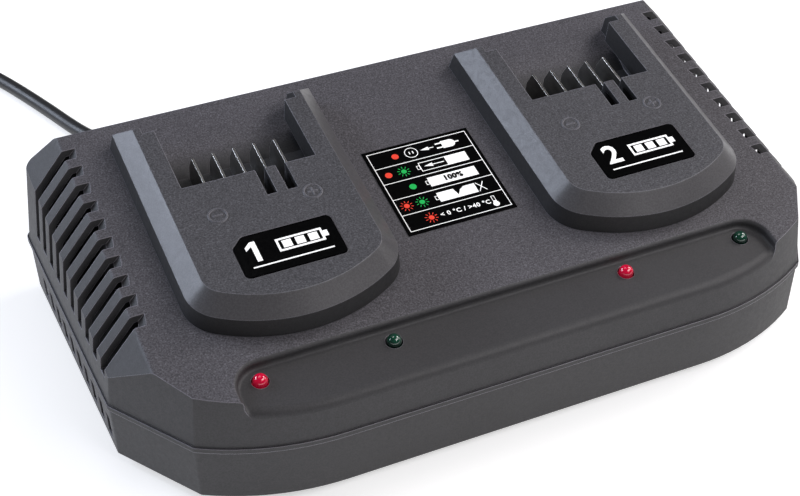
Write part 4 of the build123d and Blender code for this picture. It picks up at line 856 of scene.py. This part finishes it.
class CHARGER_OT_docks(bpy.types.Operator):
    """Finish of the docks, their contact blades and terminal blocks"""
    bl_idname = "charger.docks"
    bl_label = "Docks"

    def execute(self, context):
        finish = context.scene.charger_finish
        # painted light on the docks' sloping faces, at twice their colour, and painted shade on their
        # upright faces, at half
        body = moulded_plastic("dock_body", finish.dock_colour, finish.side_colour, finish,
                               satin=0.32, painted_slope_light=2.0, painted_wall_shade=0.50)
        # painted shade on the blades' flats, at 0.36 of the colour; their edges keep the full colour as a
        # painted highlight
        blade = brushed_metal("contact_nickel", (0.95, 0.94, 0.91), 0.34, flats=0.36)
        insulator = plain_plastic("terminal_insulator", (0.010, 0.010, 0.011), 0.5)
        for side in ("left", "right"):
            paint_nodes(body, f"{side}_dock")
            paint_nodes(blade, f"{side}_contact_blades")
            paint_nodes(insulator, f"{side}_terminal_block")
        return {"FINISHED"}


class CHARGER_OT_bay_plates(bpy.types.Operator):
    """Black plates on the docks with plain bay numbers"""
    bl_idname = "charger.bay_plates"
    bl_label = "Bay plates"

    def execute(self, context):
        inks = context.scene.charger_print
        gloss = film("plate_gloss", inks.film_colour, 0.16, specular=0.10)
        white = film("print_white", inks.white, 0.45, glow=inks.glow)
        for number, side in enumerate(("left", "right"), 1):
            node = f"{side}_dock_plate"
            paint_nodes(gloss, node)
            place, width, height = top_plane(node)
            ink = Ink(place)
            self.legend(ink, str(number), width, height)
            ink.piece(f"{side}_plate_print", white, "badge")
        return {"FINISHED"}

    def legend(self, ink, number, width, height):
        """A bay number beside a plain battery outline, over a thin rule."""
        if number == "1":
            self.digit_one(ink, -width * 0.31, height * 0.07, height * 0.50)
        else:
            ink.words(number, -width * 0.31, height * 0.07, height * 0.50)
        length, depth, line = width * 0.46, height * 0.32, height * 0.045
        x, y = width * 0.13, height * 0.07
        ink.box(x, y, length, depth, line)
        ink.bar(x + length / 2 + line, y, 2 * line, depth * 0.45)
        for step in range(3):
            ink.bar(x + (step - 1) * length * 0.285, y, length * 0.20, depth * 0.56)
        ink.bar(0, -height * 0.30, width * 0.80, line * 0.7)

    def digit_one(self, ink, x, y, height):
        """A plain figure one with a flag."""
        stem = height * 0.20
        ink.bar(x, y, stem, height)
        ink.polygon([(x - stem / 2, y + height * 0.50), (x - height * 0.34, y + height * 0.28),
                     (x - height * 0.34, y + height * 0.10), (x - stem / 2, y + height * 0.27)])


class CHARGER_OT_status_label(bpy.types.Operator):
    """Legend between the docks that explains the lamps"""
    bl_idname = "charger.status_label"
    bl_label = "Status label"
    ROWS = 5
    FRAME = 38.4 * MM, 39.2 * MM
    MARKS = -15.5 * MM, -9.7 * MM  # first and second lamp of a row
    BATTERY = -3.5 * MM, 14.8 * MM  # ends of the battery symbols
    BATTERY_WIDTH = 4.4 * MM

    def execute(self, context):
        inks = context.scene.charger_print
        paint_nodes(film("label_film", inks.film_colour, 0.22, specular=0.10), "status_label")
        place = top_plane("status_label")[0]
        self.line = inks.line
        self.width, self.length = self.FRAME
        self.row = self.length / self.ROWS
        white, red, green = Ink(place), Ink(place), Ink(place)
        black = Ink(place, lift=2 * Ink.THICKNESS)
        self.grid(white)
        self.lamp_marks(red, green)
        self.socket_and_plug(white, self.row_middle(0))
        self.charging_battery(white, self.row_middle(1))
        self.full_battery(white, black, self.row_middle(2))
        self.faulty_battery(white, self.row_middle(3))
        self.temperature(white, self.row_middle(4))
        for name, ink, colour, glow in (("white", white, inks.white, inks.glow),
                                        ("red", red, inks.red, inks.glow),
                                        ("green", green, inks.green, inks.glow),
                                        ("black", black, inks.film_colour, 0.0)):
            ink.piece(f"label_print_{name}", film(f"label_{name}", colour, 0.45, 0.2, glow), "label")
        return {"FINISHED"}

    def row_middle(self, row):
        """Height of a row's middle on the label."""
        return self.length / 2 - (row + 0.5) * self.row

    def grid(self, ink):
        """Frame of the label and the lines between its rows."""
        ink.box(0, 0, self.width, self.length, self.line)
        for row in range(1, self.ROWS):
            ink.bar(0, self.length / 2 - row * self.row, self.width - 2 * self.line, self.line)

    def lamp_marks(self, red, green):
        """A dot for a steady lamp, a burst for a blinking one."""
        first, second = self.MARKS
        dot, burst = 1.3 * MM, 2.4 * MM
        red.disc(second, self.row_middle(0), dot)
        red.disc(first, self.row_middle(1), dot)
        green.burst(second, self.row_middle(1), burst)
        green.disc(second, self.row_middle(2), dot)
        red.burst(first, self.row_middle(3), burst)
        green.burst(second, self.row_middle(3), burst)
        red.burst(second, self.row_middle(4), burst)

    def socket_and_plug(self, ink, y):
        """A round socket, an arrow and a plug on its way to it."""
        x = -3.5 * MM
        ink.ring(x, y, 2.5 * MM, self.line)
        for side in (-1, 1):
            ink.bar(x + side * 0.65 * MM, y, 0.38 * MM, 1.2 * MM)
        self.arrow(ink, 0.0, 5.2 * MM, y)
        left, right, half = 8.5 * MM, 13.6 * MM, 1.8 * MM
        ink.bar((left + right) / 2 - half / 2, y, right - left - half, 2 * half)
        ink.disc(right - half, y, half)
        for side in (-1, 1):
            ink.bar(left - 1.1 * MM, y + side * 1.05 * MM, 2.4 * MM, 0.62 * MM)
        ink.bar(right + 0.6 * MM, y, 1.8 * MM, 0.62 * MM)

    def arrow(self, ink, tip, tail, y):
        """An arrow that points left."""
        head = 3.3 * MM
        ink.polygon([(tip, y), (tip + head, y - 0.85 * MM), (tip + head, y + 0.85 * MM)])
        ink.bar((tip + head + tail) / 2, y, tail - tip - head, self.line * 1.3)

    def pole(self, ink, y):
        """The small contact at the left end of a battery."""
        ink.box(self.BATTERY[0] - 0.55 * MM, y, 1.3 * MM, 1.9 * MM, self.line * 0.8)

    def charging_battery(self, ink, y):
        """A battery that fills from the right."""
        left, right = self.BATTERY
        level = 6.6 * MM
        self.pole(ink, y)
        ink.box((left + right) / 2, y, right - left, self.BATTERY_WIDTH, self.line)
        ink.bar((level + right) / 2, y, right - level, self.BATTERY_WIDTH)
        self.arrow(ink, left + 1.6 * MM, level - 0.8 * MM, y)

    def full_battery(self, ink, black, y):
        """A battery that is full."""
        left, right = self.BATTERY
        self.pole(ink, y)
        ink.bar((left + right) / 2, y, right - left, self.BATTERY_WIDTH)
        black.words("100%", (left + right) / 2, y, 2.3 * MM, weight=0.09, spacing=1.10)

    def faulty_battery(self, ink, y):
        """A battery with a broken top edge, and a cross beside it."""
        left, right = self.BATTERY[0], 11.0 * MM
        low, high = y - self.BATTERY_WIDTH / 2, y + self.BATTERY_WIDTH / 2
        tip, notch = (3.8 * MM, low + 1.1 * MM), (5.2 * MM, high - 1.1 * MM)
        self.pole(ink, y)
        ink.polygon([(left, low), (tip[0], low), tip, (2.9 * MM, high), (left, high)])
        ink.polygon([(tip[0], low), (right, low), (right, high), (6.9 * MM, high), notch, tip])
        x, half_width, half_height = 12.9 * MM, 1.4 * MM, 2.1 * MM
        for side in (-1, 1):
            ink.line((x - half_width, y - side * half_height), (x + half_width, y + side * half_height),
                     self.line * 1.2)

    def temperature(self, ink, y):
        """Limits of temperature beside a thermometer."""
        ink.words("< 0 °C / >40 °C", 3.2 * MM, y, 1.95 * MM, weight=0.035, spacing=1.10)
        x = 14.3 * MM
        ink.disc(x, y - 1.6 * MM, 1.15 * MM)
        ink.box(x, y + 0.5 * MM, 1.3 * MM, 3.6 * MM, self.line * 0.8)
        ink.bar(x, y - 0.7 * MM, 1.1 * MM, 1.4 * MM)


class CHARGER_OT_lamps(bpy.types.Operator):
    """Lenses of the indicator lamps"""
    bl_idname = "charger.lamps"
    bl_label = "Lamps"
    RED_GLOW = 0.22  # painted glow that brightens the red lenses

    def execute(self, context):
        look = context.scene.charger_lamps
        red = lens("lens_red", look.red, self.RED_GLOW)
        green = lens("lens_green", look.green)
        for side in ("left", "right"):
            paint_nodes(red, f"{side}_red_lamp")
            paint_nodes(green, f"{side}_green_lamp")
        return {"FINISHED"}


class CHARGER_OT_fasteners(bpy.types.Operator):
    """Screws and the cord clamp"""
    bl_idname = "charger.fasteners"
    bl_label = "Fasteners"

    def execute(self, context):
        zinc = brushed_metal("screw_zinc", (0.60, 0.61, 0.62), 0.34, (8.0, 8.0, 8.0))
        paint_nodes(zinc, "housing_screws", "dock_screws", "board_screws", "lamp_board_screws",
                    "clamp_screws", "transformer_screws")
        paint_nodes(plain_plastic("clamp_plastic", (0.030, 0.030, 0.032), 0.5), "cord_clamp")
        return {"FINISHED"}


class CHARGER_OT_electronics(bpy.types.Operator):
    """Boards, transformer, heat sinks and the parts on the boards"""
    bl_idname = "charger.electronics"
    bl_label = "Electronics"

    def execute(self, context):
        paint_nodes(circuit_board("solder_mask"), "main_board", "lamp_board")
        paint_nodes(stacked_steel("core_steel"), "transformer_core")
        paint_nodes(wound_tape("winding_tape", (0.62, 0.42, 0.06)), "transformer_winding")
        paint_nodes(clear_glass("fuse_glass"), "mains_fuse")
        paint_nodes(brushed_metal("clip_brass", (0.68, 0.52, 0.24), 0.3), "fuse_clips")
        paint_nodes(brushed_metal("sink_aluminium", (0.62, 0.63, 0.65), 0.36, (1.0, 1.0, 6.0)),
                    "left_heat_sink", "right_heat_sink")
        for name, colour, roughness, grain, nodes in (
                ("component_epoxy", (0.012, 0.012, 0.013), 0.42, 0.6 * MM,
                 ("power_transistors", "control_chips")),
                ("capacitor_sleeve", (0.030, 0.040, 0.120), 0.25, 2.0 * MM, ("smoothing_capacitors",)),
                ("relay_case", (0.040, 0.120, 0.400), 0.32, 2.0 * MM, ("relays",)),
                ("terminal_green", (0.050, 0.280, 0.100), 0.4, 0.6 * MM, ("mains_terminal",)),
                ("lead_insulation", (0.030, 0.030, 0.030), 0.42, 0.6 * MM,
                 ("mains_leads", "left_dock_leads", "right_dock_leads"))):
            paint_nodes(plain_plastic(name, colour, roughness, grain), *nodes)
        return {"FINISHED"}


class CHARGER_PT_panel(bpy.types.Panel):
    """Steps of the charger, in the order in which they run"""
    bl_idname = "CHARGER_PT_panel"
    bl_label = "Charger"
    bl_space_type = "VIEW_3D"
    bl_region_type = "UI"
    bl_category = "Charger"

    def draw(self, context):
        for step in STEPS:
            self.layout.operator(step.bl_idname)
        for name, group in SETTINGS.items():
            box = self.layout.box()
            box.label(text=group.__doc__)
            for key in group.__annotations__:
                box.prop(getattr(context.scene, name), key)


STEPS = (
    CHARGER_OT_stage,
    CHARGER_OT_cord,
    CHARGER_OT_case,
    CHARGER_OT_docks,
    CHARGER_OT_bay_plates,
    CHARGER_OT_status_label,
    CHARGER_OT_lamps,
    CHARGER_OT_fasteners,
    CHARGER_OT_electronics,
)
CLASSES = (*SETTINGS.values(), *STEPS, CHARGER_PT_panel)


def register():
    for item in CLASSES:
        bpy.utils.register_class(item)
    for name, group in SETTINGS.items():
        setattr(bpy.types.Scene, name, PointerProperty(type=group))


def unregister():
    for name in SETTINGS:
        delattr(bpy.types.Scene, name)
    for item in reversed(CLASSES):
        bpy.utils.unregister_class(item)


def main():
    register()
    for step in STEPS:
        group, name = step.bl_idname.split(".")
        getattr(getattr(bpy.ops, group), name)()


if __name__ == "__main__":
    main()
